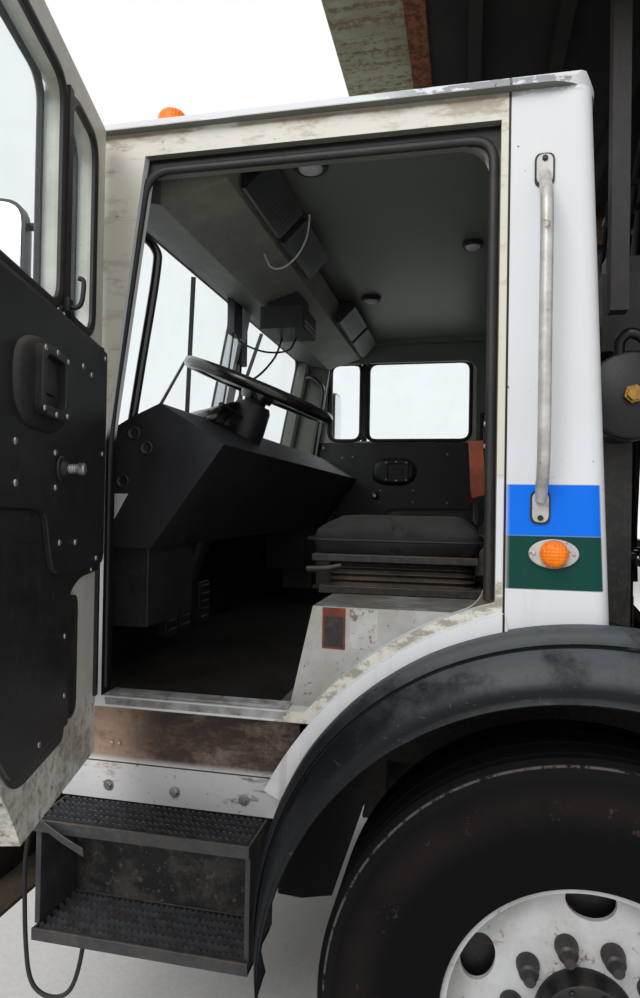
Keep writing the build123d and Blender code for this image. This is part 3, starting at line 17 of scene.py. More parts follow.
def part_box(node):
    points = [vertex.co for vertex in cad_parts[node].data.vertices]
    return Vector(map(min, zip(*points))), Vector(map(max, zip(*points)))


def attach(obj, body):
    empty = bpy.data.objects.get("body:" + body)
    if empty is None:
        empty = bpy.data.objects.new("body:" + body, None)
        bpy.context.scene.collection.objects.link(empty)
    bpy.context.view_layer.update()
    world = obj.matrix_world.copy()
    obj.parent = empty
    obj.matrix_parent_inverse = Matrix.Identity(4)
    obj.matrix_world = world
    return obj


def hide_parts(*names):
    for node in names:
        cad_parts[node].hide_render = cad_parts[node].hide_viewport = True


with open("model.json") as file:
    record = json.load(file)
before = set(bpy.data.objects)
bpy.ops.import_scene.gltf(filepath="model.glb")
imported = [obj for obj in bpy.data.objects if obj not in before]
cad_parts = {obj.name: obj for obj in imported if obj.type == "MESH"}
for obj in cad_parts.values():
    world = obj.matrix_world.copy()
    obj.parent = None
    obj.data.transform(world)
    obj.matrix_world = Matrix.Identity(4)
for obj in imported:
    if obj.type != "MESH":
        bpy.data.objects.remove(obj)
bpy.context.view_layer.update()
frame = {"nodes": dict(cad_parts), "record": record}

# %% [markdown]
# ## The truck's own coordinates
# The row frame has its origin under the middle of the whole box, which an open door pushes off the centre line.
# It is easier to think from the front axle: x forward, y to the truck's left from its centre line, z up.
# The two front wheels give the shift between them.

# %% Truck coordinates
left_low, left_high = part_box("front_left_wheel")
_, right_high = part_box("front_right_wheel")
HUB = 0.515
SHIFT = Vector(((left_low.x + left_high.x) / 2, (left_low.y + right_high.y) / 2,
                (left_low.z + left_high.z) / 2 - HUB))


def at(x, y, z):
    """A point in truck coordinates, given in the row frame."""
    return Vector((x, y, z)) + SHIFT


def placed(name, data):
    """A new object in the scene."""
    made = bpy.data.objects.new(name, data)
    bpy.context.scene.collection.objects.link(made)
    return made


print("front axle stands at", [round(v, 4) for v in SHIFT])

# %% [markdown]
# ## Camera
# The camera was fitted to the photograph: the door's edges, the wheel's nuts and the bands give its place, its
# turn and a slight roll. A camera looks along its own -Z, so its matrix is built from right, up and back.

# %% Camera
yaw, pitch, roll = (math.radians(a) for a in (12.387, 0.559, 0.945))
forward = Vector((math.sin(yaw) * math.cos(pitch), -math.cos(yaw) * math.cos(pitch), math.sin(pitch)))
level = forward.cross(Vector((0, 0, 1))).normalized()
upward = level.cross(forward)
right = math.cos(roll) * level + math.sin(roll) * upward
up = math.cos(roll) * upward - math.sin(roll) * level
camera = placed("camera", bpy.data.cameras.new("camera"))
camera.matrix_world = Matrix.Translation(at(0.242, 2.584, 1.534)) @ Matrix((right, up, -forward)).transposed().to_4x4()
camera.data.sensor_width = 36
camera.data.lens = 676.859 / 998 * 36
camera.data.clip_start = 0.02
camera.data.clip_end = 200
bpy.context.scene.camera = camera
print("lens", round(camera.data.lens, 2), "mm")

# %% [markdown]
# ## Shader maths as expressions
# Node trees are long to write by hand. A small class wraps one socket and lets Python's operators add Math nodes,
# so that a mask can be written as a formula.


# %% A socket with operators
class Value:
    """One output socket. Arithmetic on it adds Math nodes to its tree."""

    def __init__(self, nodes, socket):
        self.nodes, self.socket = nodes, socket

    def math(self, operation, *others):
        """A Math node that takes this value first."""
        return self.nodes.node("ShaderNodeMath", {"operation": operation}, self, *others)

    def __add__(self, other):
        return self.math("ADD", other)

    def __sub__(self, other):
        return self.math("SUBTRACT", other)

    def __rsub__(self, other):
        return self.nodes.node("ShaderNodeMath", {"operation": "SUBTRACT"}, other, self)

    def __mul__(self, other):
        return self.math("MULTIPLY", other)

    def __pow__(self, other):
        return self.math("POWER", other)

    def __abs__(self):
        return self.math("ABSOLUTE")

    __radd__, __rmul__ = __add__, __mul__

    def above(self, edge, soft=0.01):
        """0 below the edge and 1 above it, with a soft step between."""
        return self.nodes.node("ShaderNodeMapRange", {"interpolation_type": "SMOOTHSTEP"}, self,
                               edge - soft, edge + soft, 0.0, 1.0)

    def below(self, edge, soft=0.01):
        return 1 - self.above(edge, soft)

    def between(self, low, high, soft=0.004):
        return self.above(low, soft) * self.below(high, soft)

    def union(self, other):
        return self.math("MAXIMUM", other)


# %% [markdown]
# ## Materials in a few lines
# Writing a material by hand takes a line for every node and every link. `Nodes` adds any node in one call, and
# `Paint` is a new material on its own tree, with the few masks that every finish here needs.


# %% Materials in a few lines
class Nodes:
    """A node tree, with one method that adds any kind of node."""

    def __init__(self, tree):
        self.tree = tree

    def node(self, kind, settings=None, *values, out=0, **named):
        """Any node: its type, its settings, then the values or links of its sockets. i6 is the socket of index 6."""
        made = self.tree.nodes.new(kind)
        for key, value in (settings or {}).items():
            setattr(made, key, value)
        for index, value in enumerate(values):
            self.feed(made.inputs[index], value)
        for key, value in named.items():
            self.feed(made.inputs[int(key[1:]) if key[1:].isdigit() else key], value)
        return Value(self, made.outputs[out])

    def feed(self, socket, value):
        """Links a value to a socket, or sets a plain number, vector or colour on it."""
        if isinstance(value, Value):
            self.tree.links.new(value.socket, socket)
        elif value is not None:
            bare_color = socket.type == "RGBA" and len(value) == 3
            socket.default_value = (*value, 1) if bare_color else value


class Paint(Nodes):
    """A material on its own node tree."""

    def __init__(self, name):
        self.material = bpy.data.materials.new(name)
        self.material.use_nodes = True
        super().__init__(self.material.node_tree)
        self.shader = self.tree.nodes["Principled BSDF"]

    def mix(self, share, a, b):
        """Colour a where share is 0 and b where it is 1."""
        return self.node("ShaderNodeMix", {"data_type": "RGBA"}, out=2, i0=share, i6=a, i7=b)

    def place(self):
        """The point on the surface, in truck coordinates."""
        where = self.node("ShaderNodeTexCoord", out=3)
        return self.node("ShaderNodeVectorMath", {"operation": "SUBTRACT"}, where, tuple(SHIFT))

    def axes(self, vector):
        """The x, y and z of a vector as three values."""
        split = self.node("ShaderNodeSeparateXYZ", None, vector).socket.node
        return [Value(self, socket) for socket in split.outputs]

    def noise(self, scale, detail=4.0, rough=0.6, stretch=None, seed=0.0):
        """Cloudy noise of a size given as features per metre, stretched along an axis if asked."""
        where = self.place()
        if stretch or seed:
            where = self.node("ShaderNodeMapping", None, where, (seed, seed, seed), (0.0, 0.0, 0.0),
                              stretch or (1.0, 1.0, 1.0))
        return self.node("ShaderNodeTexNoise", None, where, None, scale, detail, rough)

    def facing(self):
        """The surface's own direction as three values, without bumps."""
        return self.axes(self.node("ShaderNodeTexCoord", out=1))

    def bump(self, height, depth):
        """Relief of a depth in metres."""
        return self.node("ShaderNodeBump", None, Strength=1.0, Distance=depth, Height=height)

    def set(self, **sockets):
        """Feeds the surface shader's sockets, named with _ for a space."""
        for key, value in sockets.items():
            self.feed(self.shader.inputs[key.replace("_", " ")], value)
        return self.material


def srgb(r, g, b):
    """A colour as it shows on a screen, 0 to 255, in the shader's own linear numbers."""
    return tuple(c / 12.92 if c <= 0.04045 else ((c + 0.055) / 1.055) ** 2.4 for c in (v / 255 for v in (r, g, b)))


print("helpers ready")

# %% [markdown]
# ## White cab paint with its bands
# The real cab is white enamel over steel. It is dusty in broad clouds, streaked below edges, chipped to brown
# rust at corners, and carries a blue and a green band behind the door. One material does it all: the bands and
# the dirt come from the place of the point, so the same paint fits the side, the roof, the nose and the doors.

# %% Cab paint
WHITE = srgb(230, 233, 237)
CREAM = srgb(222, 219, 205)
BAND_BLUE = srgb(0, 116, 242)
BAND_GREEN = srgb(0, 66, 57)
DUST = srgb(150, 132, 106)
RUST = srgb(96, 52, 26)
GREY_WORN = srgb(128, 132, 136)
# Heights of the bands, and where the panel behind the door starts
BLUE_BAND = (1.479, 1.585)
GREEN_BAND = (1.368, 1.479)
DOOR_SEAM = 0.1655


def cab_paint(name, inside):
    """White enamel. Surfaces that face into the cab take another colour."""
    paint = Paint(name)
    x, y, z = paint.axes(paint.place())
    nx, ny, nz = paint.facing()
    sideways = abs(ny).above(0.8, 0.05)
    side = sideways * abs(y).above(1.1, 0.002)
    cloud = paint.noise(3.0, 6, 0.65)
    fine = paint.noise(38.0, 5, 0.7, seed=3.0)
    streak = paint.noise(26.0, 4, 0.6, stretch=(1.0, 1.0, 0.07), seed=5.0)
    color = paint.mix(cloud.above(0.46, 0.2) * 0.07, WHITE, DUST)
    for band, band_color in ((BLUE_BAND, BAND_BLUE), (GREEN_BAND, BAND_GREEN)):
        color = paint.mix(side * z.between(*band, 0.0015) * x.below(DOOR_SEAM), color, band_color)
    # The jambs and the header around the doorway are cream, greasy and stained brown
    around = side * x.between(0.168, 1.12, 0.002) * z.above(1.6, 0.01) * z.below(2.406, 0.003)
    color = paint.mix(around * 0.9, color, CREAM)
    grime = paint.noise(7.0, 6, 0.7, stretch=(1.0, 1.0, 3.0), seed=13.0)
    color = paint.mix(around * z.above(2.3, 0.02) * grime.above(0.54, 0.08) * 0.45, color, srgb(142, 116, 84))
    color = paint.mix(around * grime.above(0.58, 0.05) * 0.25, color, srgb(124, 112, 92))
    # The recessed edge that carries the seal is brown in front of the door. Over the door it is painted near black, the
    # seal's black rubber together with painted shade under the header
    rebate = sideways * abs(y).between(1.09, 1.1005, 0.001) * z.above(1.1, 0.01)
    color = paint.mix(rebate, color, paint.mix(z.above(2.296, 0.012), srgb(96, 82, 66), srgb(26, 25, 26)))
    gutter = side * z.between(2.3985, 2.4125, 0.002) * x.between(0.15, 1.15, 0.02)
    color = paint.mix(gutter * grime.above(0.44, 0.06) * 0.6, color, srgb(120, 92, 62))
    # A cream, scraped strip follows the wheel arch
    arch = ((x + 0.04) ** 2 + (z - 0.54) ** 2).math("SQRT")
    sill = side * arch.between(0.806, 0.868, 0.004) * x.above(0.17, 0.003)
    color = paint.mix(sill * 0.85, color, CREAM)
    color = paint.mix(sill * (grime * 0.6 + fine * 0.4).above(0.52, 0.05) * 0.6, color, srgb(92, 80, 62))
    seam = side * x.between(DOOR_SEAM, 0.17, 0.0006)
    color = paint.mix(seam, color, srgb(40, 34, 28))
    low = z.below(1.05, 0.28) * (cloud.above(0.44, 0.12) * 0.75 + 0.25)
    color = paint.mix(low * 0.32, color, srgb(132, 112, 90))
    color = paint.mix(streak.above(0.6, 0.08) * z.below(1.3, 0.5) * 0.22, color, srgb(90, 70, 50))
    # Worn grey patches where branches and water work on the roof's rear edge
    worn = paint.noise(9.0, 5, 0.7, stretch=(1.0, 1.0, 2.0), seed=9.0).above(0.53, 0.02) * z.above(2.405, 0.01)
    color = paint.mix(worn * x.below(0.42, 0.1) * 0.8, color, GREY_WORN)
    chips = fine.above(0.705, 0.012) * cloud.above(0.4, 0.1)
    color = paint.mix(chips, color, RUST)
    inward = (ny * y.math("SIGN")).below(-0.3, 0.2).union(nz.below(-0.5, 0.1))
    color = paint.mix(inward * x.below(1.288, 0.001), color, inside)
    # Under the dash everything is lined in black
    lined = nx.below(-0.4, 0.1) * z.below(1.7, 0.02) * x.above(0.9, 0.01) * z.above(1.0, 0.02)
    color = paint.mix(lined, color, srgb(20, 21, 24))
    rough = fine * 0.15 + 0.3 + low * 0.3
    relief = paint.noise(160.0, 3, 0.5) * 0.25 + chips * -1.0 + seam * -3.0
    return paint.set(Base_Color=color, Roughness=rough, Normal=paint.bump(relief, 0.0006), Specular_IOR_Level=0.22)


cab_white = cab_paint("cab_white", inside=srgb(112, 116, 106))


def door_paint(name, turn):
    """The doors' enamel: white outside, greasy cream on the frame, scraped and rusty along the foot."""
    paint = Paint(name)
    _, y, z = paint.axes(paint.node("ShaderNodeMapping", {"vector_type": "TEXTURE"}, paint.place(), *turn))
    cloud = paint.noise(5.0, 6, 0.7, seed=31.0)
    fine = paint.noise(48.0, 5, 0.75, seed=33.0)
    outer = abs(y).above(1.163, 0.002)
    color = paint.mix(cloud.above(0.46, 0.2) * 0.07, WHITE, DUST)
    inner = paint.mix(cloud.above(0.44, 0.16) * 0.7, srgb(232, 230, 222), srgb(188, 184, 172))
    foot = z.below(1.09, 0.06)
    inner = paint.mix(foot * (cloud * 0.5 + fine * 0.5).above(0.5, 0.06) * 0.6, inner, srgb(120, 114, 104))
    inner = paint.mix(foot * fine.above(0.61, 0.03) * 0.7, inner, srgb(92, 70, 54))
    inner = paint.mix(fine.above(0.68, 0.02) * 0.8, inner, srgb(70, 62, 56))
    color = paint.mix(outer, inner, color)
    color = paint.mix(fine.above(0.705, 0.012) * cloud.above(0.42, 0.1), color, RUST)
    return paint.set(Base_Color=color, Roughness=fine * 0.2 + 0.35, Specular_IOR_Level=0.35,
                     Normal=paint.bump(paint.noise(160.0, 3, 0.5) * 0.25 + fine.above(0.66, 0.02) * -0.6, 0.0006))


HINGE = Vector((1.107, 1.15, 0.0))
DOOR_ANGLE = math.radians(74.5)
OPEN = Matrix.Translation(HINGE) @ Matrix.Rotation(-DOOR_ANGLE, 4, "Z") @ Matrix.Translation(-HINGE)
MIRROR = Matrix.Diagonal((1, -1, 1, 1))
# Place, turn and size of each door's own coordinates
ZERO, ONE = (0.0, 0.0, 0.0), (1.0, 1.0, 1.0)
left_door_white = door_paint("left_door_white", (tuple(OPEN.to_translation()), (0.0, 0.0, -DOOR_ANGLE), ONE))
right_door_white = door_paint("right_door_white", (ZERO, ZERO, ONE))
print("cab paint has", len(cab_white.node_tree.nodes), "nodes")

# %% [markdown]
# ## A general worn surface
# Most other finishes are one base colour that wears towards a second one in clouds, with a little relief.
# One function covers painted steel, moulded plastic, rubber and cast iron, each with its own numbers.


# %% Worn surface
def worn_surface(name, base, worn, share=0.5, cloud_scale=4.0, fine_scale=60.0, rough=0.5, metal=0.0, grain=0.0004,
                 grain_scale=220.0, dust=0.0, rust=0.0, coat=0.0, seed=0.0, streaks=0.0):
    """A base colour with worn clouds, dust on faces that look up, rust flecks and fine relief."""
    paint = Paint(name)
    cloud = paint.noise(cloud_scale, 6, 0.65, seed=seed)
    fine = paint.noise(fine_scale, 5, 0.7, seed=seed + 2.0)
    color = paint.mix(cloud.above(0.5, 0.16) * share, base, worn)
    if streaks:
        streak = paint.noise(30.0, 4, 0.6, stretch=(1.0, 1.0, 0.06), seed=seed + 4.0)
        color = paint.mix(streak.above(0.58, 0.09) * streaks, color, worn)
    if rust:
        flecks = (fine * 0.6 + cloud * 0.4).above(0.62 - 0.08 * rust, 0.03)
        color = paint.mix(flecks * min(1.0, 0.5 + rust), color, RUST)
    if dust:
        lies = paint.facing()[2].above(0.35, 0.4) * (cloud.above(0.38, 0.2) * 0.7 + 0.3)
        color = paint.mix((lies * 0.8 + fine.above(0.55, 0.1) * 0.3) * dust, color, DUST)
    relief = paint.noise(grain_scale, 3, 0.55, seed=seed + 6.0)
    return paint.set(Base_Color=color, Roughness=fine * 0.2 + (rough - 0.1), Metallic=metal,
                     Normal=paint.bump(relief, grain), Coat_Weight=coat, Coat_Roughness=0.25)


FINISHES = {"cab_paint": cab_white}


def finish(key, base, worn, share, **more):
    """Adds a worn surface. Its two colours are given as they show on a screen."""
    FINISHES[key] = worn_surface(key, srgb(*base), srgb(*worn), share, **more)


finish("frame_paint", (26, 26, 28), (62, 54, 46), 0.6, dust=0.3, rust=0.2, rough=0.6)
finish("tank_paint", (30, 31, 33), (70, 66, 60), 0.5, dust=0.5, rough=0.45, seed=1.0)
finish("engine_iron", (66, 64, 62), (38, 34, 30), 0.8, rough=0.7, rust=0.4, grain=0.0012, grain_scale=90.0, seed=2.0)
finish("exhaust_steel", (120, 112, 102), (96, 62, 40), 0.8, metal=0.9, rough=0.45, rust=0.4, seed=3.0)
finish("cab_floor_mat", (34, 32, 30), (70, 62, 54), 0.6, cloud_scale=7.0, rough=0.85, dust=0.7, rust=0.1, seed=4.0)
finish("cab_plastic", (20, 21, 24), (44, 45, 48), 0.35, cloud_scale=6.0, rough=0.5, grain=0.0005, grain_scale=700.0,
       dust=0.1, seed=5.0)
finish("seat_frame", (20, 20, 22), (50, 48, 46), 0.4, rough=0.55, dust=0.3, seed=6.0)
finish("seat_cloth", (24, 25, 30), (42, 42, 46), 0.5, cloud_scale=9.0, rough=0.9, grain=0.0009, grain_scale=900.0,
       dust=0.08, seed=7.0)
finish("handle_black", (172, 172, 170), (120, 112, 100), 0.6, cloud_scale=18.0, metal=0.55, rough=0.42, rust=0.2,
       seed=8.0)
finish("fender_rubber", (22, 24, 28), (52, 54, 56), 0.5, cloud_scale=5.0, rough=0.55, dust=0.25, seed=9.0)
finish("lamp_plastic", (224, 116, 34), (240, 150, 60), 0.5, cloud_scale=20.0, rough=0.2, coat=0.6, grain=0.0002,
       seed=10.0)
finish("body_paint", (36, 66, 50), (62, 78, 62), 0.4, cloud_scale=3.4, rough=0.5, rust=0.15, dust=0.3, streaks=0.35,
       seed=11.0)
finish("arm_paint", (34, 62, 48), (76, 82, 68), 0.5, cloud_scale=6.0, rough=0.5, rust=0.3, dust=0.3, streaks=0.3,
       seed=12.0)
finish("cylinder_paint", (28, 28, 30), (66, 62, 56), 0.5, rough=0.45, rust=0.3, seed=13.0)
finish("rod_chrome", (206, 208, 212), (150, 150, 148), 0.4, metal=1.0, rough=0.18, grain=0.0001, seed=14.0)
finish("tyre", (34, 33, 34), (78, 72, 66), 0.5, cloud_scale=6.0, rough=0.8, grain=0.0006, grain_scale=260.0,
       dust=0.25, seed=15.0)
finish("wheel_paint", (204, 206, 208), (160, 154, 146), 0.5, cloud_scale=9.0, rough=0.45, rust=0.25, seed=16.0)
finish("hose_rubber", (26, 26, 28), (60, 58, 54), 0.5, rough=0.6, seed=17.0)
print(len(FINISHES), "finishes")

# %% [markdown]
# ## Glass
# Thick glass in CAD would tint everything behind it, and rays through it cost time. The panes are thin, so a mix
# of a clear shader and a faint glossy one reads as glass from any side. Dust lies on it in a thin veil.

# %% Glass
glass = Paint("pane")
grazing = glass.node("ShaderNodeLayerWeight", None, 0.5, out=1)
veil = glass.noise(5.0, 6, 0.7).above(0.5, 0.25) * 0.03
glass.set(Base_Color=srgb(214, 222, 220), Roughness=0.08)
clear = glass.node("ShaderNodeBsdfTransparent", None, (0.955, 0.985, 0.99))
glossy = Value(glass, glass.shader.outputs[0])
joined = glass.node("ShaderNodeMixShader", None, (grazing ** 5) * 0.22 + veil + 0.012, clear, glossy)
glass.feed(glass.tree.nodes["Material Output"].inputs["Surface"], joined)
FINISHES["cab_glass"] = glass.material
print("glass ready")

# %% [markdown]
# ## Two surfaces painted by place
# The cab's floor node is three things at once: a dark mat, a cream housing under each seat, and the stained kick
# panel over the step. The shield is a plate in front in painted light, a rusty flange, and a ribbed underside
# behind it in near-black painted shade. Masks from the point's place and direction tell them apart.


# %% Floor and shield paint
def floor_paint():
    """The mat, the seats' cream housings, and the stained kick panel."""
    paint = Paint("floor_and_housings")
    x, y, z = paint.axes(paint.place())
    nz, across = paint.facing()[2], abs(y)
    cloud = paint.noise(6.0, 6, 0.7, seed=41.0)
    fine = paint.noise(60.0, 5, 0.75, seed=43.0)
    smear = paint.noise(11.0, 5, 0.7, stretch=(0.6, 1.0, 1.6), seed=45.0)
    mat = paint.mix(cloud.above(0.46, 0.12) * 0.7, srgb(20, 18, 17), srgb(52, 46, 40))
    cream = paint.mix(cloud.above(0.44, 0.16) * 0.6, srgb(190, 190, 186), srgb(150, 146, 136))
    cream = paint.mix(nz.above(0.5, 0.2) * (smear.above(0.44, 0.12) * 0.6 + 0.25), cream, srgb(96, 92, 84))
    cream = paint.mix(fine.above(0.63, 0.02) * 0.8, cream, srgb(70, 62, 54))
    housing = x.below(0.665, 0.002) * across.above(0.648, 0.001) * z.above(1.036, 0.002)
    color = paint.mix(housing, mat, cream)
    # The kick panel: brown smudges over cream above its seam, dirty white below, orange rust in front
    kick = across.above(0.99, 0.002) * z.below(1.074, 0.001) * x.above(0.6, 0.005)
    panel = paint.mix((smear * 0.7 + fine * 0.3).above(0.42, 0.14), srgb(150, 132, 118), srgb(74, 60, 54))
    panel = paint.mix(z.above(1.0, 0.06) * smear.above(0.46, 0.1) * 0.8, panel, srgb(46, 38, 36))
    panel = paint.mix(x.above(1.05, 0.08) * cloud.above(0.38, 0.12) * 0.7, panel, srgb(190, 160, 138))
    below = z.below(0.89, 0.01) * (smear.below(0.62, 0.06) * 0.8 + 0.18)
    panel = paint.mix(below, panel, srgb(222, 222, 224))
    panel = paint.mix(fine.above(0.64, 0.03) * 0.7, panel, srgb(72, 50, 38))
    seam = z.between(0.8785, 0.8815, 0.0006)
    panel = paint.mix(seam, panel, srgb(70, 52, 44))
    color = paint.mix(kick, color, panel)
    return paint.set(Base_Color=color, Roughness=fine * 0.2 + 0.55, Specular_IOR_Level=0.3,
                     Normal=paint.bump(fine * 0.4 + cloud * 0.6 + kick * seam * -2.0, 0.0012))


def shield_paint():
    """A plate in front in painted light, a rusty flange, a near-black underside behind it in painted shade, and green
    paint on top.
    """
    paint = Paint("shield_underside")
    x, nz = paint.axes(paint.place())[0], paint.facing()[2]
    cloud = paint.noise(2.6, 6, 0.7, seed=51.0)
    fine = paint.noise(42.0, 6, 0.75, seed=53.0)
    drip = paint.noise(20.0, 4, 0.7, stretch=(0.08, 1.0, 1.0), seed=55.0)
    # Painted shade: the underside behind the flange is near black, darker than the body's green paint
    dark = paint.mix(cloud.above(0.48, 0.14) * 0.6, srgb(10, 13, 10), srgb(30, 33, 26))
    dark = paint.mix(fine.above(0.62, 0.03) * 0.35, dark, srgb(64, 44, 28))
    # Painted light: the plate in front is a pale grey-green, lighter than the underside of the same body
    plate_painted_light = paint.mix(cloud.above(0.46, 0.12) * 0.8, srgb(146, 148, 124), srgb(112, 110, 90))
    plate_painted_light = paint.mix((drip * 0.5 + fine * 0.5).above(0.53, 0.04) * 0.7, plate_painted_light, srgb(92, 62, 38))
    rust = paint.mix(fine.above(0.5, 0.08), srgb(116, 66, 34), srgb(64, 40, 26))
    color = paint.mix(x.above(0.446, 0.002), dark, plate_painted_light)
    color = paint.mix(x.between(0.383, 0.45, 0.001), color, rust)
    color = paint.mix(nz.above(0.5, 0.2), color, srgb(58, 70, 54))
    return paint.set(Base_Color=color, Roughness=fine * 0.2 + 0.6, Specular_IOR_Level=0.2,
                     Normal=paint.bump(fine * 0.6 + drip * 0.4, 0.0015))


# %% [markdown]
# ## Paint on the CAD pieces
# The record names a finish for every node. Four nodes then get a paint of their own.

# %% Give every CAD node its finish
slot_of = {row["node"]: row["material_slot"] for row in frame["record"]["subparts"]}
for name, node in frame["nodes"].items():
    node.data.materials.clear()
    node.data.materials.append(FINISHES[slot_of[name]])
frame["nodes"]["left_door"].data.materials[0] = left_door_white
frame["nodes"]["right_door"].data.materials[0] = right_door_white
frame["nodes"]["body_head"].data.materials[0] = shield_paint()
frame["nodes"]["cab_floor"].data.materials[0] = floor_paint()
print(len(frame["nodes"]), "nodes painted")

# %% [markdown]
# ## Light and ground
# A plain pale floor, a pale world that shows white to the camera, in reflections and through glass, and two big
# soft lamps. The sky in the photograph is bright and even, and the light comes from the open side, so the larger
# lamp stands behind the camera and high.

# %% Light and ground
world = bpy.data.worlds.new("studio")
bpy.context.scene.world = world
world.use_nodes = True
WORLD_LIGHT = 0.62
sky = Nodes(world.node_tree)
seen, glossy_ray, clear_ray = (sky.node("ShaderNodeLightPath", out=f"Is {kind} Ray")
                               for kind in ("Camera", "Glossy", "Transmission"))
seen = seen.union(glossy_ray.union(clear_ray))
background = sky.tree.nodes["Background"]
sky.feed(background.inputs["Color"], (1.0, 1.0, 1.0))
sky.feed(background.inputs["Strength"], sky.node("ShaderNodeMapRange", None, seen, 0.0, 1.0, WORLD_LIGHT, 1.0))


def lamp(name, place, aim, size, power):
    """A square soft lamp at a point, turned towards another."""
    data = bpy.data.lights.new(name, "AREA")
    data.size, data.energy = size, power
    made = placed(name, data)
    made.location = place
    made.rotation_euler = (aim - place).to_track_quat("-Z", "Y").to_euler()


lamp("key", at(2.5, 7.5, 7.0), at(0.3, 1.0, 1.3), 5.0, 440)
lamp("fill", at(-5.0, -8.0, 7.0), at(-2.0, 0.0, 1.5), 6.0, 420)

ground = Paint("ground")
grit = ground.noise(60.0, 6, 0.7)
ground.set(Base_Color=ground.mix(grit.above(0.5, 0.15) * 0.35, srgb(222, 221, 218), srgb(196, 193, 188)), Roughness=0.9)
bpy.ops.mesh.primitive_plane_add(size=60, location=(0, 0, 0))
floor = bpy.context.object
floor.name = "floor"
floor.data.materials.append(ground.material)
bpy.context.scene.view_settings.view_transform = "Standard"

# %% [markdown]
# ## Building pieces in code
# Every added piece is drawn in truck coordinates with a few simple moves: a slab from an outline, a turned
# profile, and a section swept along a path. They all start from outlines, so a few helpers give the usual ones.


# %% Outlines
def corners(u, w):
    """A rectangle's corners, from (low, high) along each of two ways."""
    return [(u[0], w[0]), (u[1], w[0]), (u[1], w[1]), (u[0], w[1])]


def strap(half_wide, half_thick):
    """The section of a flat band."""
    return corners((-half_wide, half_wide), (-half_thick, half_thick))


def circle(cx, cz, rx, rz=None, steps=40, start=0.0):
    """Points around a circle or an oval. The first one stands at an angle in degrees above straight ahead."""
    turns = [math.radians(start) + math.tau * k / steps for k in range(steps)]
    return [(cx + rx * math.cos(turn), cz + (rz or rx) * math.sin(turn)) for turn in turns]


def soften(piece, width, segments=2, angle=35):
    """Rounds a piece's edges where its faces meet at more than an angle in degrees."""
    edge = piece.modifiers.new("edges", "BEVEL")
    edge.width, edge.segments, edge.limit_method, edge.angle_limit = width, segments, "ANGLE", math.radians(angle)


# %% [markdown]
# ## The form builder
# A press, a lathe and a bending machine make most parts of a truck, and `Form` has a method for each of them. Its
# done() welds the seams, shades by angle, rounds the edges and lets the piece ride on a body of the CAD frame.


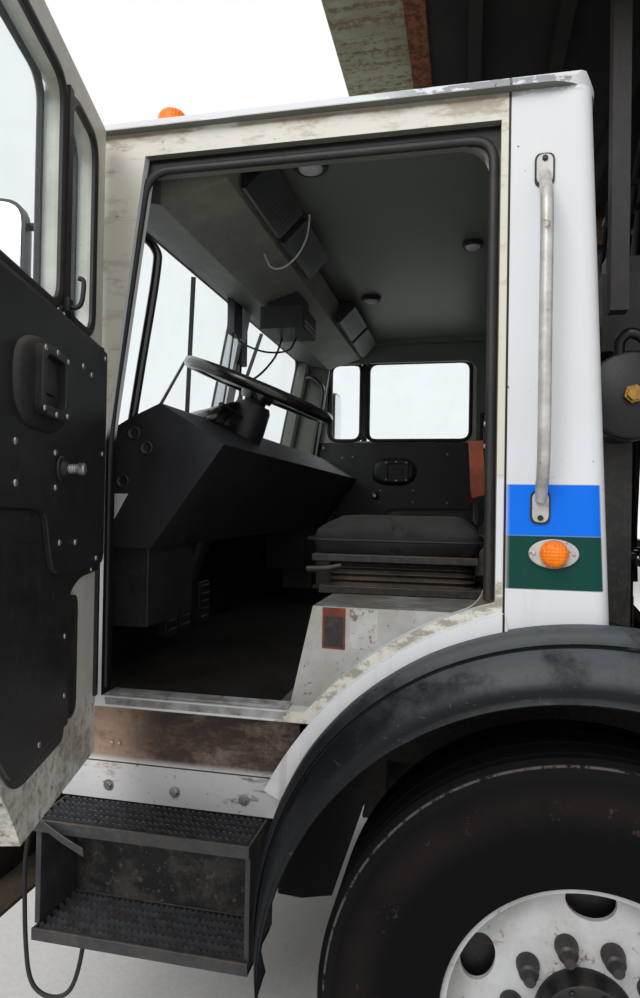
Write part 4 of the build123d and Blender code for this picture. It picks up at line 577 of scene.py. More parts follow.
# %% The form builder
class Form:
    """Geometry of one piece, in truck coordinates."""

    def __init__(self):
        self.mesh = bmesh.new()

    def prism(self, outline, low, high, axis="y"):
        """A slab: an outline across an axis, from low to high along it."""
        order = {"x": lambda u, v, w: (w, u, v), "y": lambda u, v, w: (u, w, v), "z": lambda u, v, w: (u, v, w)}[axis]
        rows = [[self.mesh.verts.new(order(u, v, w)) for u, v in outline] for w in (low, high)]
        self.mesh.faces.new(rows[0])
        self.mesh.faces.new(rows[1][::-1])
        for i in range(len(outline)):
            j = (i + 1) % len(outline)
            self.mesh.faces.new((rows[0][i], rows[1][i], rows[1][j], rows[0][j]))
        return self

    def brick(self, x, y, z):
        """A block between corners, each axis as (low, high). Its edges get their rounding in done()."""
        return self.prism(corners(x, z), *y)

    def rings(self, rows, loop=False, round_=True, caps=True):
        """Joins rows of points to a skin. round_ closes each row, loop joins the last row to the first."""
        made = [[self.mesh.verts.new(p) for p in row] for row in rows]
        count = len(made[0])
        for a, b in zip(made, made[1:] + (made[:1] if loop else [])):
            for i in range(count if round_ else count - 1):
                j = (i + 1) % count
                self.mesh.faces.new((a[i], a[j], b[j], b[i]))
        if caps and not loop and round_:
            self.mesh.faces.new(made[0][::-1])
            self.mesh.faces.new(made[-1])
        return self

    def lathe(self, profile, centre, axis=(0, 1, 0), steps=48):
        """(radius, distance) points turned about an axis. The distance runs along the axis from the centre."""
        axis = Vector(axis).normalized()
        side = axis.orthogonal().normalized()
        other = axis.cross(side)
        rows = []
        for radius, along in profile:
            rows.append([Vector(centre) + axis * along + max(radius, 1e-5) *
                         (side * math.cos(2 * math.pi * i / steps) + other * math.sin(2 * math.pi * i / steps))
                         for i in range(steps)])
        return self.rings(rows, caps=False)

    def sweep(self, path, section, up, loop=False):
        """A section of (across, up) points moved along a path. Corners are mitred."""
        path, up = [Vector(p) for p in path], Vector(up).normalized()
        rows = []
        for i, point in enumerate(path):
            ahead = path[(i + 1) % len(path)] - point if loop or i + 1 < len(path) else point - path[i - 1]
            behind = point - path[i - 1] if loop or i else ahead
            ahead, behind = ahead.normalized(), behind.normalized()
            along = (ahead + behind).normalized()
            out = up.cross(along).normalized() / max(along.dot(ahead), 0.5)
            rows.append([point + out * a + up * b for a, b in section])
        return self.rings(rows, loop=loop)

    def tube(self, path, radius, sides=12, loop=False):
        """A round bar along a path of points in space. radius may be a list, one for each point."""
        path = [Vector(p) for p in path]
        radii = radius if isinstance(radius, (list, tuple)) else [radius] * len(path)
        side = (path[1] - path[0]).orthogonal().normalized()
        rows = []
        for i, point in enumerate(path):
            ahead = path[(i + 1) % len(path)] if loop or i + 1 < len(path) else point
            along = (ahead - path[i - 1 if loop or i else i]).normalized()
            side = (side - along * side.dot(along)).normalized()
            other = along.cross(side)
            rows.append([point + radii[i] * (side * math.cos(2 * math.pi * k / sides) +
                                             other * math.sin(2 * math.pi * k / sides)) for k in range(sides)])
        return self.rings(rows, loop=loop)

    def bolt(self, centre, axis, radius, height, sides=6, washer=0.0):
        """A hexagonal or round head with a domed top, standing on a washer if asked."""
        if washer:
            self.lathe([(0, 0), (washer, 0), (washer, height * 0.25), (0, height * 0.25)], centre, axis, 20)
        return self.lathe([(0, 0), (radius, 0), (radius, height * 0.75), (radius * 0.8, height), (0, height)],
                          centre, axis, sides)

    def both_sides(self):
        """Adds the mirror image across the truck's centre line."""
        copy = bmesh.ops.duplicate(self.mesh, geom=self.mesh.verts[:] + self.mesh.edges[:] + self.mesh.faces[:])
        for vert in [v for v in copy["geom"] if isinstance(v, bmesh.types.BMVert)]:
            vert.co.y = -vert.co.y
        return self

    def done(self, name, finish, body="truck", hides=(), bevel=0.0, sharp=35, turn=None, finish_slot=None):
        """Turns the collected geometry into a piece that rides on a body. The finish is a key or a material."""
        bmesh.ops.remove_doubles(self.mesh, verts=self.mesh.verts, dist=2e-5)
        bmesh.ops.recalc_face_normals(self.mesh, faces=self.mesh.faces)
        if turn is not None:
            self.mesh.transform(turn)
            if turn.determinant() < 0:
                bmesh.ops.reverse_faces(self.mesh, faces=self.mesh.faces)
        self.mesh.transform(Matrix.Translation(SHIFT))
        data = bpy.data.meshes.new(name)
        self.mesh.to_mesh(data)
        self.mesh.free()
        data.shade_smooth()
        data.set_sharp_from_angle(angle=math.radians(sharp))
        data.materials.append(FINISHES.get(finish, finish))
        made = placed(name, data)
        if bevel:
            soften(made, bevel, angle=sharp)
        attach(made, body)
        if hides:
            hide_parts(*hides)
        return made


def rounded(points, radius, steps=6):
    """An outline or a path with its corners rounded. radius is one number, or one for each corner."""
    points = [Vector(p) for p in points]
    out = []
    for i, point in enumerate(points):
        r = radius[i] if isinstance(radius, (list, tuple)) else radius
        before, after = points[i - 1], points[(i + 1) % len(points)]
        if r <= 0:
            out.append(tuple(point))
            continue
        reach = min(r, (before - point).length * 0.49, (after - point).length * 0.49)
        start, end = point + (before - point).normalized() * reach, point + (after - point).normalized() * reach
        for k in range(steps + 1):
            t = k / steps
            out.append(tuple(start * (1 - t) ** 2 + point * 2 * t * (1 - t) + end * t ** 2))
    return out


def curved(points, per=8):
    """A smooth path through points in space, as a chain of short straight runs."""
    points = [Vector(p) for p in points]
    ends = [points[0] * 2 - points[1]] + points + [points[-1] * 2 - points[-2]]
    out = []
    for a, b, c, d in zip(ends, ends[1:], ends[2:], ends[3:]):
        for k in range(per):
            t = k / per
            out.append(0.5 * ((2 * b) + (c - a) * t + (2 * a - 5 * b + 4 * c - d) * t ** 2 +
                              (3 * b - a - 3 * c + d) * t ** 3))
    return out + [points[-1]]


def arc(centre, radius, start, end, steps):
    """(x, z) points on an arc, angles in degrees above straight ahead."""
    turns = [math.radians(start + (end - start) * k / steps) for k in range(steps + 1)]
    return [(centre[0] + radius * math.cos(turn), centre[1] + radius * math.sin(turn)) for turn in turns]


print("form builder ready")

# %% [markdown]
# ## Tyres
# A truck tyre is a lathe shape: bead, bulging sidewall, shoulder and tread. Steering tyres have rings around
# the tread. Driving tyres also have notches across the shoulder. The notches are every third step of the turning,
# pushed in by their depth, so one function makes both.

# %% Tyres
TYRE_SIDE = [(0.2866, 0.1085), (0.2872, 0.129), (0.29, 0.1335), (0.302, 0.135), (0.312, 0.1375), (0.33, 0.143),
             (0.352, 0.1505), (0.38, 0.156), (0.405, 0.1575), (0.432, 0.156), (0.462, 0.1515), (0.486, 0.1465),
             (0.506, 0.1405), (0.518, 0.1345), (0.5225, 0.1315), (0.525, 0.131), (0.5275, 0.129), (0.533, 0.1265)]
TREAD_RINGS = (-0.098, -0.034, 0.034, 0.098)
RING_HALF, RING_DEPTH = 0.0055, 0.012
CROWN_R, CROWN_HALF = 0.538, 0.1225
NOTCH_DEPTH = 0.014


def tyre(form, x, y, steps, notches):
    """One tyre about the wheel's axis, with its middle at y."""
    top, wide, narrow = CROWN_R - RING_DEPTH, RING_HALF + 0.001, RING_HALF - 0.001
    crown = [(r, ring + off) for ring in TREAD_RINGS[::-1]
             for off, r in ((wide, CROWN_R), (narrow, top), (-narrow, top), (-wide, CROWN_R))]
    profile = [*TYRE_SIDE, (CROWN_R, CROWN_HALF), *crown, (CROWN_R, -CROWN_HALF),
               *((r, -d) for r, d in TYRE_SIDE[::-1])]
    rows = []
    for radius, along in profile:
        shoulder = notches and abs(along) > 0.045
        row = []
        for i in range(steps):
            r = radius - NOTCH_DEPTH if shoulder and i % 3 == 0 and radius > 0.52 else radius
            angle = math.tau * (i + (0.5 if shoulder and along > 0 else 0)) / steps
            row.append((x + r * math.cos(angle), y + along, HUB + r * math.sin(angle)))
        rows.append(row)
    form.rings(rows, caps=False)


rubber = Paint("tyre_rubber_worn")
tx, _, tz = rubber.axes(rubber.place())
FRONT, FORE, AFT = 0.0, -4.24, -5.56
axle_x = tx.above((FRONT + FORE) / 2, 0.001) * (FRONT - FORE) + tx.above((FORE + AFT) / 2, 0.001) * (FORE - AFT) + AFT
# Distance from the wheel's axis tells the sidewall from the tread
away = ((tx - axle_x) ** 2 + (tz - HUB) ** 2).math("SQRT")
broad = rubber.noise(5.0, 6, 0.65, seed=2.0)
fine = rubber.noise(70.0, 5, 0.7, seed=4.0)
scuff = rubber.noise(24.0, 6, 0.75, seed=8.0)
tone = rubber.mix(away.between(0.43, 0.485, 0.03) * (broad.above(0.4, 0.2) * 0.6 + 0.1), srgb(10, 10, 13),
                  srgb(36, 29, 28))
tone = rubber.mix(away.above(0.505, 0.006) * (fine.above(0.42, 0.15) * 0.5 + 0.4), tone, srgb(20, 19, 19))
tone = rubber.mix(away.between(0.5215, 0.5258, 0.001) * scuff.above(0.47, 0.05) * 0.75, tone, srgb(98, 93, 90))
# Painted shade: the tread is near black, as it lies in the shade under the flare
tone = rubber.mix(away.above(0.528, 0.001), tone, srgb(9, 9, 9))
tone = rubber.mix(scuff.above(0.62, 0.02) * away.between(0.41, 0.48, 0.02) * 0.4, tone, srgb(84, 66, 58))
rubber.set(Base_Color=tone, Roughness=fine * 0.2 + 0.68, Specular_IOR_Level=0.1,
           Normal=rubber.bump(fine * 0.7 + scuff * 0.6, 0.0012))

# The tyres' middles: the outer and the inner one of a pair. The front ones stand like the outer ones
TWIN_OUT, TWIN_IN = 1.0625, 0.7275
SIDES = (("left", 1), ("right", -1))
for word, side in SIDES:
    form = Form()
    tyre(form, FRONT, side * TWIN_OUT, 120, False)
    form.done(f"front_{word}_tyre_worn", rubber.material, f"front_{word}_wheel", hides=[f"front_{word}_tyre"])
for row, x in (("fore", FORE), ("aft", AFT)):
    for word, side in SIDES:
        form = Form()
        for y in (TWIN_OUT, TWIN_IN):
            tyre(form, x, side * y, 96, True)
        form.done(f"{row}_{word}_tyres_worn", rubber.material, f"{row}_{word}_wheels", hides=[f"{row}_{word}_tyres"])
print("ten tyres")

# %% [markdown]
# ## Wheel nuts and hubs
# Ten nuts stand on a 286 mm circle. On the steering wheels they wear long covers, dark with brake dust, around a
# black hub. A cover is a turned shape: a flange, a body, a shoulder and a smaller round end.

# %% Wheel nuts and hubs
finish("nut_steel", (44, 43, 45), (72, 64, 58), 0.5, cloud_scale=30.0, metal=0.2, rough=0.45, rust=0.1, grain=0.0004,
       seed=20.0)
finish("hub_black", (14, 14, 16), (32, 30, 28), 0.5, cloud_scale=14.0, rough=0.4, rust=0.15, grain=0.0006, seed=21.0)
NUT_CIRCLE = 0.1429
COVER = [(0.0, 0.0), (0.0235, 0.0), (0.0235, 0.01), (0.021, 0.014), (0.0205, 0.03), (0.019, 0.0355),
         (0.014, 0.0385), (0.0125, 0.041), (0.0125, 0.056), (0.0105, 0.06), (0.0, 0.0605)]
SHORT_NUT = [(0.0, 0.0), (0.022, 0.0), (0.022, 0.005), (0.0175, 0.007), (0.0175, 0.028), (0.015, 0.031), (0.0, 0.031)]
HUB_CAP = [(0.0985, 0.0), (0.0985, 0.012), (0.0935, 0.02), (0.0915, 0.046), (0.089, 0.0475), (0.07, 0.0482),
           (0.068, 0.0465), (0.0, 0.0465)]
DISC_Y, REAR_DISC_Y, REAR_HUB_Y = 1.1277, 0.9078, 1.0701


def around_axle(form, draw, x, y, radius, count, start, side, *numbers):
    """Draws one small shape at each of count places on a circle about a wheel's axis."""
    for px, pz in circle(x, HUB, radius, steps=count, start=start):
        draw(form, (px, side * y, pz), (0, side, 0), *numbers)


def turned(profile, steps):
    """A turned shape that around_axle can repeat."""
    return lambda form, centre, axis: form.lathe(profile, centre, axis, steps)


for word, side in SIDES:
    nuts, hub = Form(), Form()
    around_axle(nuts, turned(COVER, 18), FRONT, DISC_Y, NUT_CIRCLE, 10, 75, side)
    nuts.done(f"front_{word}_nut_covers", "nut_steel", f"front_{word}_wheel")
    hub.lathe(HUB_CAP, (FRONT, side * DISC_Y, HUB), (0, side, 0), 48)
    around_axle(hub, Form.bolt, FRONT, DISC_Y + 0.048, 0.08, 8, 22.5, side, 0.007, 0.006)
    hub.done(f"front_{word}_hub_cap", "hub_black", f"front_{word}_wheel")
    for row, x in (("fore", FORE), ("aft", AFT)):
        nuts = Form()
        around_axle(nuts, turned(SHORT_NUT, 12), x, REAR_DISC_Y, NUT_CIRCLE, 10, 75, side)
        around_axle(nuts, Form.bolt, x, REAR_HUB_Y, 0.07, 8, 0, side, 0.009, 0.008)
        nuts.done(f"{row}_{word}_nuts", "nut_steel", f"{row}_{word}_wheels")
print("nuts and hubs")

# %% [markdown]
# ## Hand holes
# The wheels' hand holes are wider around the wheel than across it. The piece starts as a copy of the wheel's own
# mesh, five oblong plugs are taken away from it, and it takes the wheel's place, with its edges rounded.


# %% Hand holes
HOLE_CIRCLE, HOLE_ACROSS, HOLE_ROUND = 0.2255, 0.0335, 0.05


def opened(node, body, x, low, high):
    """The node's own form with its hand holes made oblong."""
    plugs = Form()
    for k in range(5):
        angle = math.radians(93 + 72 * k)
        out, round_way = Vector((math.cos(angle), 0, math.sin(angle))), Vector((-math.sin(angle), 0, math.cos(angle)))
        middle = Vector((x, 0, HUB)) + out * HOLE_CIRCLE
        ring = circle(0, 0, HOLE_ACROSS, HOLE_ROUND)
        plugs.rings([[middle + out * a + round_way * b + Vector((0, y, 0)) for a, b in ring] for y in (low, high)])
    plug = plugs.done("plugs", "wheel_paint")
    made = placed(f"{node}_worn", frame["nodes"][node].data.copy())
    cut = made.modifiers.new("holes", "BOOLEAN")
    cut.operation, cut.object, cut.solver = "DIFFERENCE", plug, "EXACT"
    shape = bpy.data.meshes.new_from_object(made.evaluated_get(bpy.context.evaluated_depsgraph_get()))
    made.modifiers.clear()
    made.data = shape
    bpy.data.objects.remove(plug)
    shape.shade_smooth()
    shape.set_sharp_from_angle(angle=math.radians(25))
    soften(made, 0.0025, angle=40)
    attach(made, body)
    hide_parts(node)


for word, side in SIDES:
    opened(f"front_{word}_wheel", f"front_{word}_wheel", FRONT, side * 1.08, side * 1.15)
    for row, x in (("fore", FORE), ("aft", AFT)):
        opened(f"{row}_{word}_wheels", f"{row}_{word}_wheels", x, side * 0.6, side * 1.19)
print("hand holes opened")

# %% [markdown]
# ## Fender flares
# The flare is moulded rubber over the wheel arch. Its section starts flat at the cab's side, steps down over a
# groove that follows the arch, and rolls into a lip. The section is the same all round, only stretched between
# the outer arc and the lip, so the skin is made of rows between the two arcs.

# %% Fender flares
FLARE_AT = [(-12, 0.64), (5, 0.692), (16, 0.712), (28, 0.734), (40, 0.754), (52, 0.768), (66, 0.779), (80, 0.784)]
FLARE_TOP = [(80, 0.784), (100, 0.79), (130, 0.797), (180, 0.799)]
LIP_CENTRE, LIP_R = (0.01, HUB), 0.648
FLARE_ENDS, FLARE_STEPS = (-2, 180), 96
# share of the way from the outer arc to the lip, y
FLARE_SECTION = [(0.0, 1.121), (0.02, 1.148), (0.05, 1.16), (0.13, 1.169), (0.22, 1.174), (0.25, 1.17),
                 (0.29, 1.169), (0.33, 1.176), (0.4, 1.19), (0.52, 1.208), (0.66, 1.2215), (0.8, 1.227),
                 (0.86, 1.2255), (0.9, 1.2262), (0.97, 1.2295), (1.0, 1.224), (1.0, 1.215), (0.93, 1.214),
                 (0.74, 1.212), (0.5, 1.196), (0.3, 1.164), (0.1, 1.14), (0.06, 1.121)]


def flare_out(angle):
    """The outer arc's point at an angle about the wheel's centre."""
    table = FLARE_AT if angle < 80 else FLARE_TOP
    for (a, ra), (b, rb) in zip(table, table[1:]):
        if angle <= b:
            radius = ra + (rb - ra) * (angle - a) / (b - a)
            break
    return Vector((radius * math.cos(math.radians(angle)), 0, HUB + radius * math.sin(math.radians(angle))))


rows = []
for step, (lip_x, lip_z) in enumerate(arc(LIP_CENTRE, LIP_R, *FLARE_ENDS, FLARE_STEPS)):
    angle = FLARE_ENDS[0] + (FLARE_ENDS[1] - FLARE_ENDS[0]) * step / FLARE_STEPS
    outer, lip = flare_out(angle), Vector((lip_x, 0, lip_z))
    rows.append([outer * (1 - f) + lip * f + Vector((0, y, 0)) for f, y in FLARE_SECTION])
flare_paint = Paint("flare_rubber")
fz, nz = flare_paint.axes(flare_paint.place())[2], flare_paint.facing()[2]
cloud = flare_paint.noise(4.5, 6, 0.7, seed=3.0)
fine = flare_paint.noise(90.0, 5, 0.7, seed=5.0)
scrape = flare_paint.noise(18.0, 6, 0.8, stretch=(0.5, 1.0, 2.2), seed=7.0)
tone = flare_paint.mix(cloud.above(0.5, 0.15) * 0.5, srgb(14, 17, 22), srgb(24, 28, 33))
tone = flare_paint.mix(nz.above(0.35, 0.3) * (cloud.above(0.44, 0.1) * 0.8 + 0.1) * fz.above(1.12, 0.1), tone,
                       srgb(84, 90, 92))
tone = flare_paint.mix(scrape.above(0.64, 0.03) * 0.45, tone, srgb(96, 100, 100))
tone = flare_paint.mix(fine.above(0.66, 0.03) * 0.5, tone, srgb(90, 90, 88))
flare_paint.set(Base_Color=tone, Roughness=cloud * 0.3 + 0.34, Specular_IOR_Level=0.22,
                Normal=flare_paint.bump(fine * 0.6 + cloud * 1.0, 0.0014))
form = Form()
form.rings(rows)
for k in range(7):
    angle = math.radians(38 + 18 * k)
    spot = flare_out(math.degrees(angle)) * 0.985
    form.bolt((spot.x, 1.1305, spot.z + 0.004), (0, 0.3, 1), 0.009, 0.006, washer=0.013)
form.both_sides()
flap = Form()
flap.brick((-6.196, -6.187), (0.56, 1.214), (0.262, 1.0))
flap.brick((-6.199, -6.16), (0.4303, 1.214), (0.962, 1.0))
for y in (0.62, 0.8, 0.98, 1.16):
    flap.bolt((-6.199, y, 0.981), (-1, 0, 0), 0.01, 0.008, washer=0.016)
    flap.prism(corners((y - 0.035, y - 0.029), (0.3, 0.93)), -6.201, -6.195, "x")
flap.both_sides().done("rear_flaps", "fender_rubber", bevel=0.002, finish_slot="fender_rubber")
form.done("fender_flares", flare_paint.material, hides=["fenders"], finish_slot="fender_rubber")
print("flares and flaps")

# %% [markdown]
# ## The doors, seen from inside
# The open door shows its inner face: a moulded black panel with a raised upper field, a dome that carries the
# latch handle in a bezel, rivets, a threaded lock knob and a slot above the foot. The door is drawn closed, on
# the left side. A turn about the hinge puts it where it stands open, and a mirror image makes the right door.

# %% Door helpers
finish("gasket", (24, 23, 24), (52, 46, 42), 0.5, cloud_scale=12.0, rough=0.55, grain=0.0006, seed=22.0)
finish("bright_screw", (190, 192, 196), (128, 124, 118), 0.6, cloud_scale=60.0, metal=0.9, rough=0.35, grain=0.0002,
       seed=23.0)
finish("moulded_black", (24, 25, 29), (50, 51, 54), 0.35, cloud_scale=7.0, rough=0.42, grain=0.0005,
       grain_scale=620.0, dust=0.15, seed=24.0)
HINGE_SIDE, TRIM_Y = 1.095, 1.1277


def across(points):
    """(distance from the hinge line, z) points as (x, z) of the closed door."""
    return [(HINGE_SIDE - s, z) for s, z in points]


def dome(form, outline, y, rise, steps=5):
    """A pillow that stands off a face towards -Y: its outline shrinks as it rises."""
    cx = sum(p[0] for p in outline) / len(outline)
    cz = sum(p[1] for p in outline) / len(outline)
    rows = []
    for k in range(steps + 1):
        turn = math.pi / 2 * k / steps
        share = 0.62 + 0.38 * math.cos(turn)
        rows.append([(cx + (x - cx) * share, y - rise * math.sin(turn), cz + (z - cz) * share) for x, z in outline])
    form.rings(rows)


def oblong(cx, cz, width, height, round_, steps=5):
    """A rectangle with round corners, as (x, z) points."""
    w, h = width / 2, height / 2
    return rounded(corners((cx - w, cx + w), (cz - h, cz + h)), round_, steps)


def frame_ring(form, outer, inner, y_back, y_front):
    """A flat frame between two outlines of equal count, standing from y_back to y_front."""
    turns = ((inner, y_back), (outer, y_back), (outer, y_front), (inner, y_front))
    form.rings([[(x, y, z) for x, z in line] for line, y in turns], loop=True)


def both_doors(name, finish, draw, hides=None, **more):
    """Draws a piece for the closed left door, and puts it on both doors."""
    for word, turn in (("left", OPEN), ("right", MIRROR)):
        form = Form()
        draw(form)
        form.done(f"{word}_{name}", finish, f"{word}_door", turn=turn,
                  hides=[f"{word}_{hides}"] if hides else (), **more)


print("door helpers ready")

# %% [markdown]
# ## Door panels
# The panel is moulded plastic. Three slabs stand one on the other, so that its steps catch the light, and the
# screws and rivets are turned shapes of three sizes. Each piece is drawn once and put on both doors.

# %% Door panels
TRIM = rounded(across([(0.03, 1.885), (0.03, 1.38), (0.186, 1.377), (0.252, 1.35), (0.256, 1.2), (0.233, 1.064),
                       (0.486, 1.06), (0.585, 1.165), (0.7, 1.335), (0.875, 1.43), (0.875, 1.885)]),
               [0.012, 0.02, 0.05, 0.05, 0.1, 0.03, 0.05, 0.1, 0.1, 0.03, 0.012])
FIELD = rounded(across([(0.04, 1.872), (0.04, 1.397), (0.254, 1.395), (0.375, 1.405), (0.398, 1.45),
                        (0.418, 1.517), (0.503, 1.523), (0.868, 1.526), (0.868, 1.872)]),
                [0.01, 0.03, 0.05, 0.03, 0.05, 0.03, 0.05, 0.02, 0.02])
# The panel's foot is thin where it passes the sill. Above it the panel is thicker
TRIM_UPPER = rounded(across([(0.038, 1.885), (0.03, 1.38), (0.186, 1.377), (0.252, 1.35), (0.256, 1.2),
                             (0.238, 1.096), (0.519, 1.096), (0.585, 1.165), (0.7, 1.335), (0.875, 1.43),
                             (0.875, 1.885)]), [0.012, 0.02, 0.05, 0.05, 0.1, 0.01, 0.01, 0.1, 0.1, 0.03, 0.012])
# Middles of the latch handle's bezel and of the lock knob
BEZEL = (HINGE_SIDE - 0.468, 1.727)
KNOB = (HINGE_SIDE - 0.353, TRIM_Y - 0.024, 1.593)


def door_panel(form):
    """A thin foot, a thicker panel above it, and a raised upper field."""
    form.prism(TRIM, TRIM_Y - 0.0045, TRIM_Y)
    form.prism(TRIM_UPPER, TRIM_Y - 0.013, TRIM_Y - 0.004)
    form.prism(FIELD, TRIM_Y - 0.024, TRIM_Y - 0.012)


def door_mould(form):
    """The dome, the latch handle in its bezel, and the lock knob's seat."""
    dome(form, rounded(across([(0.33, 1.68), (0.34, 1.79), (0.49, 1.806), (0.576, 1.775), (0.576, 1.69),
                               (0.527, 1.65), (0.4, 1.648)]), 0.06), TRIM_Y - 0.022, 0.02)
    frame_ring(form, oblong(*BEZEL, 0.13, 0.114, 0.028), oblong(*BEZEL, 0.098, 0.082, 0.02),
               TRIM_Y - 0.03, TRIM_Y - 0.054)
    form.prism(oblong(*BEZEL, 0.096, 0.08, 0.018), TRIM_Y - 0.036, TRIM_Y - 0.03)
    form.prism(oblong(HINGE_SIDE - 0.474, 1.722, 0.058, 0.03, 0.01), TRIM_Y - 0.046, TRIM_Y - 0.036)
    form.lathe([(0, 0), (0.024, 0), (0.024, 0.004), (0.014, 0.007), (0.012, 0.016), (0, 0.016)], KNOB, (0, -1, 0), 20)


both_doors("trim_panel", "moulded_black", door_panel, hides="door_trim", bevel=0.004)
both_doors("trim_mould", "moulded_black", door_mould, bevel=0.003, sharp=50)


def door_bright(form):
    """Rivets, the bezel's screws, the panel's screws and the threaded lock knob."""
    screws = (
        ([(0.0065, 0), (0.0055, 0.0022), (0.003, 0.0036), (0, 0.004)], 0.0238, 14,
         ((0.559, 1.624), (0.556, 1.561), (0.38, 1.62), (0.376, 1.558), (0.348, 1.459), (0.255, 1.455), (0.224, 1.805),
          (0.165, 1.799), (0.105, 1.412), (0.07, 1.64), (0.74, 1.82), (0.74, 1.56), (0.06, 1.855))),
        ([(0.0052, 0), (0.0045, 0.002), (0, 0.003)], 0.0535, 12,
         ((0.413, 1.68), (0.413, 1.774), (0.523, 1.68), (0.523, 1.774), (0.468, 1.778), (0.468, 1.676))),
        ([(0.006, 0), (0.005, 0.002), (0, 0.0035)], 0.0128, 12,
         ((0.1, 1.387), (0.272, 1.275), (0.268, 1.16), (0.4, 1.112), (0.6, 1.22), (0.78, 1.4))))
    for profile, back, sides, spots in screws:
        for s, z in spots:
            form.lathe([(0, 0), *profile], (HINGE_SIDE - s, TRIM_Y - back, z), (0, -1, 0), sides)
    thread = [(0, 0.014)]
    for k in range(5):
        thread += [(0.0095, 0.015 + 0.004 * k), (0.0078, 0.017 + 0.004 * k)]
    form.lathe(thread + [(0.0115, 0.035), (0.0115, 0.042), (0.009, 0.045), (0, 0.046)], KNOB, (0, -1, 0), 20)


both_doors("trim_bright", "bright_screw", door_bright)
print("door panels")

# %% [markdown]
# ## Door gaskets and mirror
# Rubber holds each pane on both faces of the door, so one section is swept around each pane twice. The mirror
# stands outside on two arms and moves with the door.


# %% Door gaskets and mirror
def door_rubber(form):
    """Gaskets of both panes on both faces, and the smaller rubber parts."""
    section = [(-0.009, -0.004), (0.009, -0.004), (0.01, 0.003), (0.004, 0.008), (-0.004, 0.008), (-0.01, 0.003)]
    for low, high in ((0.297, 0.857), (0.083, 0.263)):
        loop = rounded(across([(low, 1.897), (high, 1.897), (high, 2.334), (low, 2.334)]), 0.055, 7)
        for y, out in ((1.1288, -1), (1.17, 1)):
            form.sweep([(x, y, z) for x, z in loop], [(a, b * out) for a, b in section], (0, 1, 0), loop=True)
    # The divider's inner cover, the weather strip along the hinge edge, and the slot's rim
    form.brick((0.8035, 0.8265), (1.118, 1.131), (1.9, 2.33))
    form.brick((HINGE_SIDE - 0.0225, HINGE_SIDE - 0.0055), (1.1204, 1.1282), (1.09, 1.89))
    slot = oblong(HINGE_SIDE - 0.206, 1.222, 0.06, 0.246, 0.029)
    inner = oblong(HINGE_SIDE - 0.206, 1.222, 0.044, 0.23, 0.021)
    frame_ring(form, slot, inner, TRIM_Y, 1.119)
    form.prism(inner, 1.125, 1.1279)
    # Hook of the vent pane
    form.tube(curved([(0.813, 1.118, 1.908), (0.812, 1.104, 1.905), (0.811, 1.093, 1.913), (0.811, 1.089, 1.935),
                      (0.811, 1.089, 1.957), (0.811, 1.098, 1.962)], 4), 0.0048, 8)
    form.brick((0.8, 0.826), (1.112, 1.122), (1.896, 1.922))


both_doors("rubber", "gasket", door_rubber, sharp=50)


def door_mirror(form):
    """The mirror's two arms and its shell."""
    for z in (1.79, 2.15):
        form.tube(curved([(1.045, 1.168, z), (1.045, 1.205, z), (1.045, 1.25, z), (1.045, 1.285, z)], 3), 0.009, 10)
        form.lathe([(0, 0), (0.02, 0), (0.02, 0.005), (0, 0.006)], (1.045, 1.1705, z), (0, 1, 0), 16)
    sizes = ((1.012, 0.196, 0.456), (1.04, 0.198, 0.458), (1.066, 0.186, 0.446), (1.0795, 0.15, 0.4))
    form.rings([[(x, u, z) for u, z in oblong(1.375, 1.97, w, h, 0.05)] for x, w, h in sizes])


def mirror_pane(form):
    form.prism(oblong(1.375, 1.97, 0.18, 0.44, 0.045), 1.0095, 1.013, "x")


both_doors("mirror", "moulded_black", door_mirror, sharp=50)
finish("mirror_glass", (222, 226, 230), (190, 192, 194), 0.3, metal=1.0, rough=0.14, grain=0.0, seed=25.0)
both_doors("mirror_pane", "mirror_glass", mirror_pane)
print("doors dressed")

# %% [markdown]
# ## Doorway
# A bulb seal runs up the rear jamb, over the head and down the front pillar. Two bright strips lie on the sill,
# grooved along their length. The grooves are in the section that is pushed along, which costs almost nothing.

# %% Doorway
seal = Form()
way = rounded([(0.199, 1.34), (0.199, 2.3245), (1.0035, 2.3245), (1.0945, 1.682), (1.0945, 1.09)],
              [0, 0.052, 0.06, 0.12, 0], 8)
bulb = circle(0, 0, 0.0105, 0.0085, 10)
seal.sweep([(x, 1.0995, z) for x, z in way], bulb, (0, 1, 0))
seal.sweep([(x, 1.093, z) for x, z in way], corners((-0.012, 0.004), (0, 0.005)), (0, 1, 0))
seal.both_sides().done("doorway_seals", "gasket", sharp=50)
finish("sill_strip", (176, 176, 178), (112, 104, 94), 0.7, cloud_scale=24.0, metal=0.5, rough=0.42, rust=0.1,
       grain=0.0004, seed=26.0)
strips = Form()
for y, z, wide in ((1.09, 1.076, 0.044), (1.117, 1.064, 0.007)):
    groove = [(-wide / 2, 0)]
    for k in range(4):
        u = -wide / 2 + wide * (k + 0.5) / 4
        groove += [(u - wide * 0.09, 0.006), (u - wide * 0.03, 0.0035), (u + wide * 0.03, 0.0035),
                   (u + wide * 0.09, 0.006)]
    groove += [(wide / 2, 0.006), (wide / 2, 0), (0, -0.0005)]
    strips.prism([(y + a, z + b * (1.4 if wide < 0.02 else 1.0)) for a, b in groove], 0.632, 1.078, "x")
strips.prism(corners((1.1185, 1.1212), (1.056, 1.064)), 0.64, 1.076, "x")
for x in (0.66, 0.8, 0.94, 1.06):
    strips.lathe([(0, 0), (0.005, 0), (0.004, 0.0015), (0, 0.002)], (x, 1.0775, 1.0815), (0, 0, 1), 12)
strips.brick((0.1955, 0.2025), (1.066, 1.096), (1.655, 1.73))
for z in (1.668, 1.716):
    strips.tube([(0.2025, 1.081, z), (0.212, 1.081, z)], 0.0055, 12)
strips.both_sides().done("sill_strips", "sill_strip", bevel=0.0008)
bolts = Form()
